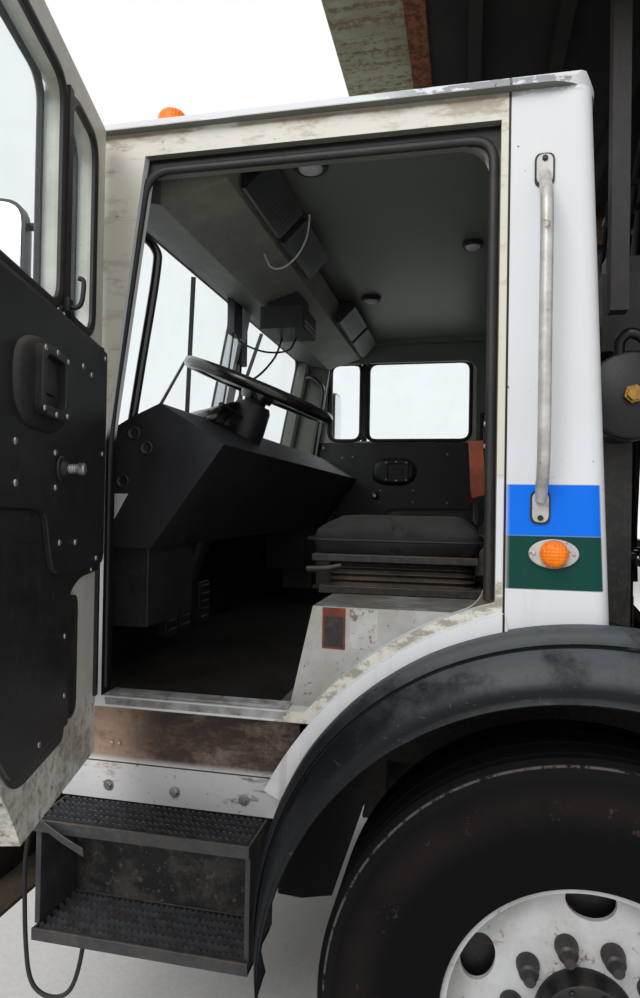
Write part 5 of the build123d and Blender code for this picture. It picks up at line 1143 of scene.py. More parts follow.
for x in (0.761, 0.94, 1.119):
    bolts.bolt((x, 1.02, 0.821), (0, 1, 0), 0.0085, 0.007, washer=0.014)
for x, z in ((1.092, 0.929), (1.112, 0.929)):
    bolts.lathe([(0, 0), (0.005, 0), (0.004, 0.003), (0, 0.004)], (x, 1.02, z), (0, 1, 0), 12)
bolts.both_sides().done("kick_bolts", "bright_screw", sharp=30)
print("doorway dressed")

# %% [markdown]
# ## Grab handles
# The handle is one tube, flattened where it is bolted. Its radius changes along the path: a list of radii for the
# run, and separate flat feet with round ends on dark gaskets.

# %% Grab handles
grip = Form()
gaskets, heads = Form(), Form()
for z, step in ((1.53, 1), (2.246, -1)):
    for wide, tall, y_low, y_high, form in ((0.04, 0.07, 1.1203, 1.1235, gaskets),
                                            (0.033, 0.063, 1.1235, 1.1275, grip)):
        form.prism(oblong(0.0975, z + 0.008 * step, wide, tall, 0.0155), y_low, y_high)
    for dz in (-0.014, 0.024):
        heads.bolt((0.0975, 1.1275, z + dz * step), (0, 1, 0), 0.0062, 0.005)
route = curved([(0.0975, 1.13, 1.552), (0.0975, 1.148, 1.58), (0.0975, 1.17, 1.612), (0.0975, 1.18, 1.68),
                (0.0975, 1.18, 1.89), (0.0975, 1.18, 2.096), (0.0975, 1.17, 2.164), (0.0975, 1.148, 2.196),
                (0.0975, 1.13, 2.224)], 5)
grip.tube(route, [0.0115] * 3 + [0.0125] * 3 + [0.0132] * (len(route) - 12) + [0.0125] * 3 + [0.0115] * 3, 16)
finish("handle_tube", (206, 206, 204), (150, 144, 132), 0.55, cloud_scale=22.0, metal=0.25, rough=0.36, rust=0.12,
       grain=0.0003, streaks=0.25, seed=27.0)
grip.both_sides().done("grab_handles", "handle_tube", hides=["grab_rails"], sharp=50, bevel=0.001)
gaskets.both_sides().done("grab_gaskets", "gasket")
heads.both_sides().done("grab_bolts", "hub_black")
print("grab handles")

# %% [markdown]
# ## Lamps and markers
# A lens is ribbed inside to spread the light. Ribs that fine would cost many faces, so they are only relief in the
# paint. All lenses of one colour make one piece.


# %% Lamps and markers
def lens_finish(name, color, deep):
    """Ribbed coloured plastic with a faint painted glow of its own colour; no lamp inside it is lit."""
    paint = Paint(name)
    x, _, z = paint.axes(paint.place())
    fine = paint.noise(50.0, 4, 0.6, seed=61.0)
    ribs = (x * 900.0).math("SINE") * 0.3 + (z * 900.0).math("SINE") * 0.3
    tone = paint.mix(fine.above(0.55, 0.1) * 0.3, color, deep)
    return paint.set(Base_Color=tone, Roughness=fine * 0.1 + 0.2, Coat_Weight=0.2, Normal=paint.bump(ribs, 0.0012),
                     Subsurface_Weight=0.15, Specular_IOR_Level=0.3, Emission_Color=tone, Emission_Strength=0.16)


AMBER = lens_finish("amber_lens", srgb(244, 128, 8), srgb(214, 84, 4))
RED = lens_finish("red_lens", srgb(190, 18, 14), srgb(110, 8, 8))
CLEAR = lens_finish("clear_lens", srgb(214, 222, 226), srgb(150, 158, 164))
amber, bases, clear, red, rims = Form(), Form(), Form(), Form(), Form()
bases.prism(circle(0.0705, 1.443, 0.0495, 0.03), 1.1203, 1.129)
amber.lathe([(0.0285, 0), (0.0285, 0.006), (0.026, 0.01), (0.0255, 0.014), (0.021, 0.019), (0.019, 0.0195),
             (0.0185, 0.0182), (0.012, 0.0205), (0.0, 0.0215)], (0.0705, 1.1288, 1.443), (0, 1, 0), 32)
for x in (0.0315, 0.1095):
    rims.lathe([(0, 0), (0.0045, 0), (0.004, 0.002), (0, 0.003)], (x, 1.1288, 1.443), (0, 1, 0), 12)
for y in (1.025, 0.22, 0.0):
    z = 2.455 + 0.034 * (1 - (max(y - 0.042, 0) / 1.07) ** 2)
    bases.lathe([(0.0, 0.001), (0.043, 0.001), (0.043, 0.007), (0.039, 0.01)], (0.977, y, z), (0, 0, 1), 36)
    amber.lathe([(0.037, 0.008), (0.037, 0.016), (0.0355, 0.024), (0.036, 0.03), (0.034, 0.038), (0.028, 0.046),
                 (0.018, 0.0505), (0.0, 0.0515)], (0.977, y, z), (0, 0, 1), 36)
for y, r, deep in ((0.86, 0.095, 0.045), (1.03, 0.055, 0.035)):
    rims.lathe([(r - 0.02, 0.0), (r, 0.0), (r, deep * 0.6), (r - 0.006, deep * 0.85), (r - 0.013, deep * 0.8),
                (r - 0.016, deep * 0.5)], (1.2905, y, 0.93), (1, 0, 0), 44)
    lens = clear if r > 0.08 else amber
    lens.lathe([(r - 0.014, deep * 0.55), (r * 0.7, deep * 0.86), (r * 0.35, deep * 0.98), (0.0, deep)],
               (1.2905, y, 0.93), (1, 0, 0), 44)
bases.prism(rounded(corners((0.762, 0.958), (0.802, 0.918)), 0.02), -6.914, -6.9004, "x")
for y, form in ((0.8, clear), (0.862, amber), (0.922, red)):
    form.lathe([(0.0, 0.011), (0.016, 0.0105), (0.024, 0.008), (0.026, 0.0)], (-6.914, y, 0.86), (-1, 0, 0), 28)
bases.both_sides().done("lamp_bases", "wheel_paint", hides=["lamps"], bevel=0.002)
amber.both_sides().done("lamp_amber_lenses", AMBER, sharp=50, finish_slot="lamp_plastic")
clear.both_sides().done("lamp_clear_lenses", CLEAR, sharp=50)
red.both_sides().done("lamp_red_lenses", RED, sharp=50)
rims.both_sides().done("lamp_rims", "bright_screw", sharp=50)
print("lamps and markers")

# %% [markdown]
# ## Steps
# Each tread is a tray with rows of upright bars. The bars' upper edges are cut into teeth that grip a boot.
# A toothed outline is worked out for each bar.

# %% Steps
finish("step_steel", (38, 40, 46), (66, 64, 62), 0.7, cloud_scale=12.0, rough=0.5, rust=0.15, dust=0.2, grain=0.0007,
       seed=28.0)
finish("tooth_steel", (92, 94, 98), (52, 50, 50), 0.6, cloud_scale=40.0, metal=0.4, rough=0.4, rust=0.15,
       grain=0.0004, seed=29.0)
STEP_X = (0.7005, 1.2395)
TEETH = 34


def back_plate_paint():
    """Dull steel with dried mud."""
    paint = Paint("step_back_plate")
    cloud = paint.noise(9.0, 6, 0.7, seed=71.0)
    fine = paint.noise(55.0, 5, 0.75, seed=73.0)
    tone = paint.mix(cloud.above(0.45, 0.08), srgb(66, 62, 58), srgb(22, 21, 22))
    tone = paint.mix(fine.above(0.6, 0.03) * 0.8, tone, srgb(96, 88, 78))
    return paint.set(Base_Color=tone, Roughness=fine * 0.2 + 0.6, Normal=paint.bump(fine, 0.001))


box, bars, back = Form(), Form(), Form()
for top, front in ((0.785, STEP_X[1]), (0.53, STEP_X[1] - 0.005)):
    low = top - 0.03
    # Tray: floor and four lips
    box.brick((STEP_X[0], front), (0.9852, 1.1592), (low, low + 0.012))
    box.brick((STEP_X[0], front), (1.153, 1.1595), (low, top - 0.002))
    box.brick((STEP_X[0], front), (0.9852, 0.99), (low, top - 0.004))
    for x in (STEP_X[0], front - 0.006):
        box.brick((x, x + 0.006), (0.99, 1.153), (low, top - 0.003))
    for row in range(6):
        y = 1.003 + 0.0262 * row
        teeth = [(STEP_X[0] + 0.007, low + 0.011), (front - 0.007, low + 0.011)]
        span = (front - 0.014 - STEP_X[0]) / TEETH
        for k in range(TEETH, 0, -1):
            x = STEP_X[0] + 0.007 + span * k
            teeth += [(x, top - 0.005), (x - span * 0.25, top), (x - span * 0.62, top), (x - span * 0.86, top - 0.005)]
        bars.prism(teeth, y, y + 0.0045)
back.brick(STEP_X, (0.9655, 0.985), (0.5, 0.7848))
box.brick((STEP_X[0], STEP_X[0] + 0.012), (0.985, 1.15), (0.528, 0.757))
box.brick((STEP_X[1] - 0.014, STEP_X[1]), (0.985, 1.14), (0.528, 0.757))
box.brick((0.76, 1.18), (0.4303, 0.9655), (0.74, 0.785))
# A bent strip hangs from the upper tread's front corner
box.sweep([(1.238, 1.16, 0.786), (1.205, 1.165, 0.776), (1.15, 1.172, 0.752), (1.092, 1.176, 0.73)],
          strap(0.0015, 0.011), (0, 0.25, 1))
box.both_sides().done("step_trays", "step_steel", hides=["step_boxes"], bevel=0.0012)
bars.both_sides().done("step_teeth", "tooth_steel")
back.both_sides().done("step_backs", back_plate_paint(), bevel=0.002)
print("steps dressed")

# %% [markdown]
# ## Air hose
# The hose hangs in a loop beside the step.

# %% Air hose
HOSE = [(1.271, 1.06, 0.8597), (1.271, 1.06, 0.82), (1.29, 1.078, 0.76), (1.304, 1.09, 0.66),
        (1.303, 1.09, 0.56), (1.299, 1.09, 0.455), (1.287, 1.09, 0.352), (1.251, 1.09, 0.32),
        (1.201, 1.09, 0.32), (1.163, 1.09, 0.352), (1.14, 1.086, 0.455), (1.14, 1.086, 0.4997)]
curve = bpy.data.curves.new("step_hose_cord", "CURVE")
curve.dimensions, curve.bevel_depth, curve.bevel_resolution, curve.resolution_u = "3D", 0.0055, 4, 8
spline = curve.splines.new("NURBS")
spline.points.add(len(HOSE) - 1)
for point, place in zip(spline.points, HOSE):
    point.co = (*at(*place), 1.0)
spline.order_u, spline.use_endpoint_u = 3, True
hose = placed("step_hose_cord", curve)
curve.materials.append(FINISHES["hose_rubber"])
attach(hose, "truck")
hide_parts("step_hose")

# %% [markdown]
# ## Seats
# A seat cushion is foam under cloth: fuller in the middle, tight at its seams. A box is remeshed finely, blown up
# a little by the cloth solver without gravity, and how far each point may move is capped. The second seat uses the
# same result.

# %% Seats
CAP = 0.026


def stuffed(name, low, high, round_):
    """A cushion between two corners, in truck coordinates: blown up by cloth pressure, capped."""
    core = Form()
    core.brick(*zip(low, high))
    made = core.done(name, FINISHES["seat_cloth"], bevel=round_)
    made.modifiers["edges"].segments = 4
    dense = made.modifiers.new("dense", "REMESH")
    dense.mode, dense.voxel_size, dense.use_smooth_shade = "VOXEL", 0.006, True
    graph = bpy.context.evaluated_depsgraph_get()
    shape = bpy.data.meshes.new_from_object(made.evaluated_get(graph))
    made.modifiers.clear()
    made.data = shape
    before = [v.co.copy() for v in shape.vertices]
    cloth = made.modifiers.new("cloth", "CLOTH")
    cloth.settings.quality, cloth.settings.mass = 4, 0.4
    cloth.settings.tension_stiffness = cloth.settings.compression_stiffness = 12
    cloth.settings.bending_stiffness = 1.5
    cloth.settings.use_pressure, cloth.settings.uniform_pressure_force = True, 4.0
    cloth.settings.effector_weights.gravity = 0.0
    cloth.collision_settings.use_collision = cloth.collision_settings.use_self_collision = False
    for moment in range(1, 21):
        bpy.context.scene.frame_set(moment)
    graph = bpy.context.evaluated_depsgraph_get()
    blown = bpy.data.meshes.new_from_object(made.evaluated_get(graph))
    made.modifiers.clear()
    for vert, start in zip(blown.vertices, before):
        move = vert.co - start
        if move.length > CAP:
            vert.co = start + move * (CAP / move.length)
    made.data = blown
    bpy.context.scene.frame_set(1)
    made.data.shade_smooth()
    soft = made.modifiers.new("soft", "SUBSURF")
    soft.levels = soft.render_levels = 1
    return made


finish("seat_piping", (16, 16, 18), (36, 36, 38), 0.4, rough=0.6, seed=30.0)
for part, low, high, round_ in (("cushion", (0.205, 0.415, 1.408), (0.645, 0.865, 1.482), 0.03),
                                ("back_low", (0.098, 0.432, 1.48), (0.166, 0.848, 1.76), 0.026),
                                ("back_high", (0.09, 0.44, 1.768), (0.152, 0.84, 2.01), 0.026)):
    pad = stuffed(f"driver_seat_{part}", low, high, round_)
    twin = pad.copy()
    twin.name = f"passenger_seat_{part}"
    twin.location.y -= 1.28
    bpy.context.scene.collection.objects.link(twin)
    for piece in (pad, twin):
        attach(piece, "truck")
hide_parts("seat_pads")

# %% [markdown]
# ## Seams, suspension and belts
# Piping covers the seams, so a thin tube runs around each cushion. The seat rides on a folded rubber bellows: its
# skin is a stack of rings, and every second ring is smaller.

# %% Seams, suspension and belts
piping, frames, webs = Form(), Form(), Form()
for y in (0.64, -0.64):
    edge = rounded(corners((0.196, 0.655), (y - 0.234, y + 0.234)), 0.05)
    piping.tube([(a, b, 1.447) for a, b in edge], 0.0045, 8, loop=True)
    for x, z_low, z_high, half in ((0.13, 1.476, 1.766, 0.222), (0.121, 1.764, 2.016, 0.214)):
        loop = rounded(corners((y - half, y + half), (z_low, z_high)), 0.04)
        piping.tube([(x, a, b) for a, b in loop], 0.0045, 8, loop=True)
    # Suspension base: foot frame, rubber bellows in folds, top frame, lever and belt anchors
    frames.brick((0.205, 0.625), (y - 0.205, y + 0.205), (1.3055, 1.326))
    frames.brick((0.215, 0.64), (y - 0.222, y + 0.222), (1.39, 1.409))
    frames.brick((0.088, 0.22), (y - 0.036, y + 0.036), (1.31, 1.344))
    frames.brick((0.07, 0.1), (y - 0.19, y + 0.19), (1.39, 1.97))
    for side in (-1, 1):
        frames.prism([(0.07, 1.395), (0.215, 1.395), (0.215, 1.425), (0.15, 1.5), (0.1, 1.51)],
                     y + side * 0.225, y + side * 0.23)
        frames.tube([(0.56, y + side * 0.225, 1.38), (0.6, y + side * 0.232, 1.372),
                     (0.65, y + side * 0.232, 1.368)], [0.007, 0.008, 0.01], 10)
    rows = []
    for fold in range(9):
        inset = 0.012 if fold % 2 else 0.0
        z = 1.3262 + 0.0638 * fold / 8
        fold_edge = corners((0.222 + inset, 0.612 - inset), (y - 0.196 + inset, y + 0.196 - inset))
        rows.append([(a, b, z) for a, b in rounded(fold_edge, 0.04)])
    frames.rings(rows)
    outer = 1 if y > 0 else -1
    webs.sweep([(0.168, y + outer * 0.3, 2.02), (0.17, y + outer * 0.285, 1.72), (0.176, y + outer * 0.27, 1.46),
                (0.182, y + outer * 0.262, 1.34)], strap(0.022, 0.001), (0, 1, 0.02))
frames.done("seat_suspension", "seat_frame", hides=["seat_bases"], bevel=0.003)
piping.done("seat_seams", "seat_piping")
webs.done("seat_belts", "gasket", bevel=0.0004)
belt = Form()
for side in (1, -1):
    belt.sweep([(0.228, side * 0.93, 1.694), (0.224, side * 0.933, 1.64), (0.221, side * 0.93, 1.575),
                (0.218, side * 0.925, 1.562)], strap(0.017, 0.0015), (0, 1, 0.02))
finish("belt_orange", (138, 58, 28), (78, 38, 24), 0.7, cloud_scale=16.0, rough=0.7, grain=0.0005, grain_scale=800.0,
       seed=31.0)
belt.done("belt_sleeves", "belt_orange", bevel=0.0004)
print("seats dressed")

# %% [markdown]
# ## Dash and column
# The dash keeps its CAD body, with its edges rounded by a modifier. On it come the instrument hood, dished round
# recesses, the pale bracket, the knee panel, the column's shroud with its stalk, and pedals with ribbed pads.


# %% Dash and column
def dash_paint():
    """Black up to the screen, and the pale console over it with its grey shelf."""
    paint = Paint("dash_and_console")
    x, _, z = paint.axes(paint.place())
    cloud = paint.noise(7.0, 6, 0.7, seed=81.0)
    fine = paint.noise(64.0, 5, 0.7, seed=83.0)
    black = paint.mix(cloud.above(0.48, 0.12) * 0.5, srgb(24, 25, 29), srgb(46, 47, 50))
    pale = paint.mix(cloud.above(0.46, 0.14) * 0.6, srgb(134, 136, 122), srgb(104, 105, 92))
    pale = paint.mix(fine.above(0.62, 0.03) * 0.5, pale, srgb(90, 84, 74))
    shelf = paint.mix(cloud.above(0.46, 0.14) * 0.5, srgb(88, 93, 92), srgb(64, 68, 68))
    color = paint.mix(z.above(2.1, 0.01), black, paint.mix(x.above(1.0005, 0.0005), pale, shelf))
    return paint.set(Base_Color=color, Roughness=fine * 0.2 + 0.42, Specular_IOR_Level=0.4,
                     Normal=paint.bump(paint.noise(600.0, 2, 0.5, seed=85.0), 0.0004))


frame["nodes"]["dash"].data.materials[0] = dash_paint()
soften(frame["nodes"]["dash"], 0.01, segments=3, angle=20)
finish("gloss_black", (12, 12, 14), (40, 40, 42), 0.3, cloud_scale=9.0, rough=0.22, coat=0.5, grain=0.0002, dust=0.12,
       seed=32.0)
hood = Form()
rows = []
for k in range(13):
    turn = math.pi * k / 12
    rows.append([(1.12 - 0.15 * t - 0.016 * math.sin(turn) * t, 0.5 + 0.235 * math.cos(turn) * (1 - 0.1 * t),
                  1.745 + 0.04 * t + 0.075 * math.sin(turn)) for t in (0, 0.25, 0.5, 0.75, 1.0)])
hood.rings(rows, round_=False, caps=False)
shell = hood.done("instrument_hood", "gloss_black", sharp=60)
shell.modifiers.new("thick", "SOLIDIFY").thickness = 0.007
trim = Form()
for x, z in ((1.071, 1.709), (1.036, 1.672), (1.1, 1.588)):
    for side in (1, -1):
        trim.lathe([(0.017, 0.0), (0.017, 0.0035), (0.0135, 0.0035), (0.01, 0.0006), (0.0, 0.0004)],
                   (x, side * 1.015, z), (0, side, 0), 24)
trim.brick((1.04, 1.235), (0.7, 0.985), (1.215, 1.42))
trim.brick((1.04, 1.235), (-0.985, -0.7), (1.215, 1.42))
trim.brick((0.995, 1.01), (-0.3, 0.1), (1.5, 1.66))
# Instruments' face, then the column's shroud and stalk
tilt = Vector((-0.2, 0, 0.5)).normalized()
centre = Vector((0.905, 0.5, 1.9))
trim.lathe([(0.052, -0.045), (0.06, -0.06), (0.066, -0.13), (0.06, -0.23), (0.0, -0.23)], centre, tilt, 28)
trim.tube([centre + tilt * -0.1 + Vector((0, 0.06, 0)), centre + tilt * -0.085 + Vector((0.01, 0.15, 0)),
           centre + tilt * -0.08 + Vector((0.02, 0.215, 0))], [0.006, 0.005, 0.008], 10)
for y in (0.4, 0.56, 0.66):
    trim.prism(oblong(y, 1.2, 0.084, 0.14, 0.012), 1.12, 1.13, "x")
    for k in range(5):
        trim.brick((1.116, 1.1205), (y - 0.034, y + 0.034), (1.145 + 0.026 * k, 1.153 + 0.026 * k))
trim.done("dash_trim", "moulded_black", bevel=0.002)
bracket = Form()
for side in (1, -1):
    bracket.prism([(1.166, 1.556), (1.083, 1.556), (1.166, 1.412)], *sorted((side * 1.016, side * 1.019)))
bracket.done("dash_brackets", "wheel_paint", bevel=0.001)
print("dash and column")

# %% [markdown]
# ## Hand wheel
# The rim is a tube around a circle, and it stands on eight thin spokes in pairs. It is drawn on the column's own
# slanting axis and rides on the hand wheel's body, so it turns with it.

# %% Hand wheel
wheel = Form()
side_way = tilt.orthogonal().normalized()
other_way = tilt.cross(side_way)


def on_wheel(radius, angle, lift=0.0):
    """A point on the hand wheel's plane, at an angle around it and lifted off it."""
    return centre + tilt * lift + radius * (side_way * math.cos(angle) + other_way * math.sin(angle))


wheel.tube([on_wheel(0.237, math.tau * k / 72) for k in range(72)], 0.0178, 14, loop=True)
wheel.lathe([(0, -0.034), (0.048, -0.034), (0.058, -0.01), (0.055, 0.012), (0.04, 0.019), (0, 0.021)], centre, tilt,
            32)
wheel.done("hand_wheel_rim", "gloss_black", "hand_wheel", hides=["steering_wheel"], sharp=50)
spokes = Form()
for k in range(4):
    angle = math.pi / 4 + math.pi / 2 * k
    for off in (-0.055, 0.055):
        spokes.tube([on_wheel(0.045, angle + off * 2.2, -0.006), on_wheel(0.13, angle + off, -0.01),
                     on_wheel(0.232, angle + off * 0.6, 0.0)], 0.0058, 8)
spokes.done("hand_wheel_spokes", "handle_tube", "hand_wheel")
print("hand wheel")

# %% [markdown]
# ## Overhead console
# The console over the screen is pale, with four black speaker panels, three dome lamps and a radio box below it.
# A speaker panel slopes, so its ribs are placed by two directions: up its face, and out of it.

# %% Overhead console
speak, pale, dark = Form(), Form(), Form()
foot, head = Vector((0.7985, 0, 2.3255)), Vector((0.729, 0, 2.3935))
rise, out = (head - foot).normalized(), Vector((-(head - foot).z, 0, (head - foot).x)).normalized()
for y_low, y_high in ((0.655, 0.975), (0.285, 0.615), (-0.615, -0.285), (-0.975, -0.655)):
    speak.prism([(0.812, 2.33), (foot.x, foot.z), (head.x, head.z), (0.742, 2.412), (0.806, 2.412)], y_low, y_high)
    for k in range(13):
        here = out * -0.0012 + Vector((0, y_low + 0.035 + (y_high - y_low - 0.07) * k / 12, 0))
        speak.tube([foot + rise * 0.016 + here, head - rise * 0.016 + here], 0.0022, 6)
for x, y, r in ((0.66, 0.862, 0.047), (0.664, -0.296, 0.042), (0.24, 0.247, 0.036)):
    speak.lathe([(0, 0), (r, 0), (r, 0.012), (r * 0.86, 0.017), (r * 0.72, 0.015), (r * 0.7, 0.004)], (x, y, 2.4325),
                (0, 0, -1), 32)
    pale.lathe([(r * 0.72, 0.01), (r * 0.66, 0.018), (r * 0.4, 0.024), (0, 0.025)], (x, y, 2.4325), (0, 0, -1), 32)
speak.brick((0.838, 1.0), (0.0, 0.21), (2.18, 2.262))
speak.brick((0.862, 0.98), (0.02, 0.19), (2.262, 2.318))
for row in range(2):
    for k in range(6):
        pale.brick((0.836, 0.8385), (0.025 + 0.028 * k, 0.038 + 0.028 * k), (2.19 + 0.018 * row, 2.198 + 0.018 * row))
speak.brick((1.12, 1.15), (0.06, 0.15), (2.185, 2.32))
speak.brick((1.142, 1.168), (-0.07, 0.0), (2.1, 2.3))
speak.done("overhead_fittings", "moulded_black", bevel=0.002)
pale.done("overhead_pale", "wheel_paint", sharp=50)
print("overhead console")

# %% [markdown]
# ## Leads, grab tubes and plates
# Loose leads hang in smooth bows, so each is a curve through four to seven points with a thin tube around it. The
# plates on the driver's housing stay bare.

# %% Leads, grab tubes and plates
LEADS = (
    (0.0045, [(0.96, 0.05, 2.182), (0.99, 0.06, 2.1), (1.06, 0.09, 2.02), (1.12, 0.12, 2.03), (1.15, 0.02, 2.105)]),
    (0.004, [(0.9, 0.06, 2.182), (0.93, 0.07, 2.13), (1.02, 0.08, 2.125), (1.11, 0.09, 2.16), (1.13, 0.1, 2.19)]),
    (0.0045, [(1.155, -0.03, 2.1), (1.15, 0.0, 1.95), (1.17, 0.03, 1.82), (1.175, 0.03, 1.7)]),
    (0.0042, [(1.135, 0.12, 2.186), (1.15, 0.15, 1.98), (1.18, 0.16, 1.76), (1.185, 0.15, 1.69)]))
for r, route in LEADS:
    dark.tube(curved(route, 7), r, 8)
# A black grab tube inside each front pillar
for side in (1, -1):
    dark.tube(curved([(1.118, side * 1.02, 2.232), (1.081, side * 1.0, 2.227), (1.03, side * 1.0, 2.18),
                      (1.026, side * 1.0, 2.12), (1.06, side * 1.0, 1.9), (1.092, side * 1.0, 1.705),
                      (1.11, side * 1.0, 1.672), (1.16, side * 1.02, 1.655)], 6), 0.0115, 12)
dark.done("cabin_tubes_and_leads", "gloss_black", sharp=50)
lead = Form()
lead.tube(curved([(0.72, 0.62, 2.405), (0.721, 0.62, 2.377), (0.73, 0.62, 2.33), (0.757, 0.62, 2.283),
                  (0.797, 0.62, 2.252), (0.837, 0.618, 2.255), (0.862, 0.612, 2.3)], 6), 0.003, 8)
lead.done("pale_lead", "wheel_paint")
# Bare plates on the driver's housing
plates = Form()
plates.prism([(0.563, 1.2105), (0.51, 1.209), (0.51, 1.303), (0.563, 1.303)], 1.0745, 1.0758)
plates.done("housing_plate_border", "belt_orange")
plates = Form().prism([(0.558, 1.215), (0.515, 1.214), (0.515, 1.283), (0.558, 1.283)], 1.0755, 1.0764)
plates.done("housing_plate_field", "seat_frame")
plates = Form().prism([(0.5, 1.213), (0.437, 1.213), (0.437, 1.301), (0.5, 1.301)], 1.0745, 1.0754)
plates.done("pale_plate", "wheel_paint")
print("cabin dressed")

# %% [markdown]
# ## Wheel wells and brake drums
# A liner closes the well over each front tyre, and a brake drum fills the view through the hand holes. The
# liner's near-black colour is painted shade. Without them daylight would show where the real truck is dark.

# %% Wheel wells and brake drums
WELL_R = 0.726
liner = Form()
for side in (1, -1):
    rows = []
    for x, z in arc((FRONT, HUB), WELL_R, 24, 158, 40):
        rows.append([(x, side * 0.6, z), (x, side * 1.108, z)])
    liner.rings(rows, round_=False, caps=False)
    liner.prism([(-0.673, 0.787), *arc((FRONT, HUB), WELL_R, 158, 24, 40), (0.663, 0.81), (0.64, 0.7),
                 (0.55, 0.86), *arc((0.0, 0.6), 0.48, 30, 150, 12), (-0.55, 0.86), (-0.65, 0.72)],
                *sorted((side * 0.585, side * 0.6)))
    apron = [(1.02, 0.905), (1.02, 0.61), (0.805, 0.48), (0.38, 0.25), (0.0, 0.25), (0.0, 0.725),
             (0.4305, 0.725), (0.4305, 0.905)]
    liner.prism([(side * y, z) for y, z in apron], 0.664, 0.672, "x")
    liner.brick((0.672, 0.69), (side * 0.44, side * 0.985), (0.905, 1.01))
# Painted shade: the liners are near black, like the shade in the well
finish("well_shade_black", (6, 6, 7), (16, 15, 14), 0.5, rough=0.9, seed=34.0)
liner.done("wheel_well_liners", "well_shade_black", sharp=40)
for word, side in SIDES:
    drum = Form()
    drum.lathe([(0.095, 0.0), (0.205, 0.0), (0.212, 0.01), (0.212, 0.085), (0.205, 0.092), (0.095, 0.092)],
               (FRONT, side * 0.985, HUB), (0, side, 0), 48)
    drum.lathe([(0.095, 0.0), (0.268, 0.0), (0.268, 0.003), (0.095, 0.003)], (FRONT, side * 1.081, HUB),
               (0, side, 0), 48)
    drum.done(f"front_{word}_brake_drum", "hub_black", f"front_{word}_wheel", sharp=40)
print("wells and drums")

# %% [markdown]
# ## Pipes behind the cab
# Behind the cab stand the pipes, the valve block and the tank's fittings that feed the arms. Real pipes never run
# quite straight, so each bends by a small random amount. The seed keeps the bends the same on every run.

# %% Pipes behind the cab
TANK_X, TANK_Z = -0.19, 1.85
finish("brass", (176, 138, 70), (110, 84, 44), 0.5, cloud_scale=40.0, metal=0.8, rough=0.4, seed=33.0)
pipes, fittings = Form(), Form()
random.seed(11)
for k in range(16):
    y = -0.98 + 0.105 * k
    x = -0.31 - 0.06 * (k % 3)
    r = (0.013, 0.017, 0.021)[k % 3]
    bend = 0.05 * (random.random() - 0.5)
    pipes.tube(curved([(x, y, 1.02 if abs(y) < 0.45 else 1.24), (x + bend, y, 1.45), (x - bend, y + 0.02, 1.95),
                       (x + bend, y + 0.02, 2.45), (x - 0.05, y, 2.93)], 5), r, 10)
    for z in (1.36, 2.1, 2.7):
        pipes.brick((x - 0.03, x + 0.03), (y - 0.03, y + 0.034), (z, z + 0.022))
for z in (1.365, 2.105, 2.705):
    pipes.brick((-0.5, -0.47), (-1.02, 0.72), (z - 0.02, z + 0.045))
# Post, valve block and air cleaner
pipes.brick((-0.16, -0.115), (0.64, 0.69), (2.06, 2.99))
pipes.brick((-0.42, -0.15), (-0.42, 0.38), (2.02, 2.26))
for k in range(6):
    y = -0.365 + 0.13 * k
    pipes.brick((-0.4, -0.17), (y - 0.035, y + 0.035), (2.26, 2.33))
    pipes.tube(curved([(-0.16, y, 2.1), (-0.105, y, 2.09), (-0.1, y, 1.99), (-0.16, y + 0.015, 1.955)], 5), 0.016, 10)
pipes.lathe([(0.0, 0.0), (0.15, 0.0), (0.165, 0.02), (0.165, 0.1), (0.15, 0.11), (0.15, 0.55), (0.165, 0.56),
             (0.165, 0.6), (0.0, 0.6)], (-0.3, -0.7, 1.42), (0, 0, 1), 40)
pipes.done("hydraulic_pipes", "gasket", sharp=50)
fittings.lathe([(0.0, 0.012), (0.02, 0.012), (0.02, 0.0), (0.026, 0.0), (0.026, -0.02)], (TANK_X, 0.6255, TANK_Z),
               (0, 1, 0), 6)
dark = Form()
dark.tube(curved([(-0.16, 0.58, 1.955), (-0.16, 0.59, 2.0), (-0.185, 0.6, 2.02), (-0.22, 0.6, 2.0),
                  (-0.24, 0.59, 1.95)], 6), 0.015, 12)
dark.lathe([(0.1195, -0.1), (0.1195, -0.001), (0.112, 0.0035), (0.0, 0.0045)], (TANK_X, 0.6, TANK_Z), (0, 1, 0), 48)
for y in (0.555, 0.1, -0.1, -0.555):
    dark.lathe([(0.1185, -0.018), (0.1225, -0.018), (0.1225, 0.018), (0.1185, 0.018)], (TANK_X, y, TANK_Z), (0, 1, 0),
               48)
dark.done("tank_end_and_bands", "hub_black", sharp=40)
fittings.done("tank_fittings", "brass", sharp=40)
print("pipes and fittings")

# %% [markdown]
# ## The nose
# The screen has a rubber gasket around each pane and a wiper on each half. Louvre blades stand in the grille's
# slots. The screen slopes, so one function gives its points and all that lies on it uses that.


# %% Nose
def on_screen(y, z, off=0.0):
    """A point on the sloping windscreen, pushed out by off."""
    return Vector((1.29 - 0.1953 * (z - 1.69) + off * 0.981, y, z + off * 0.192))


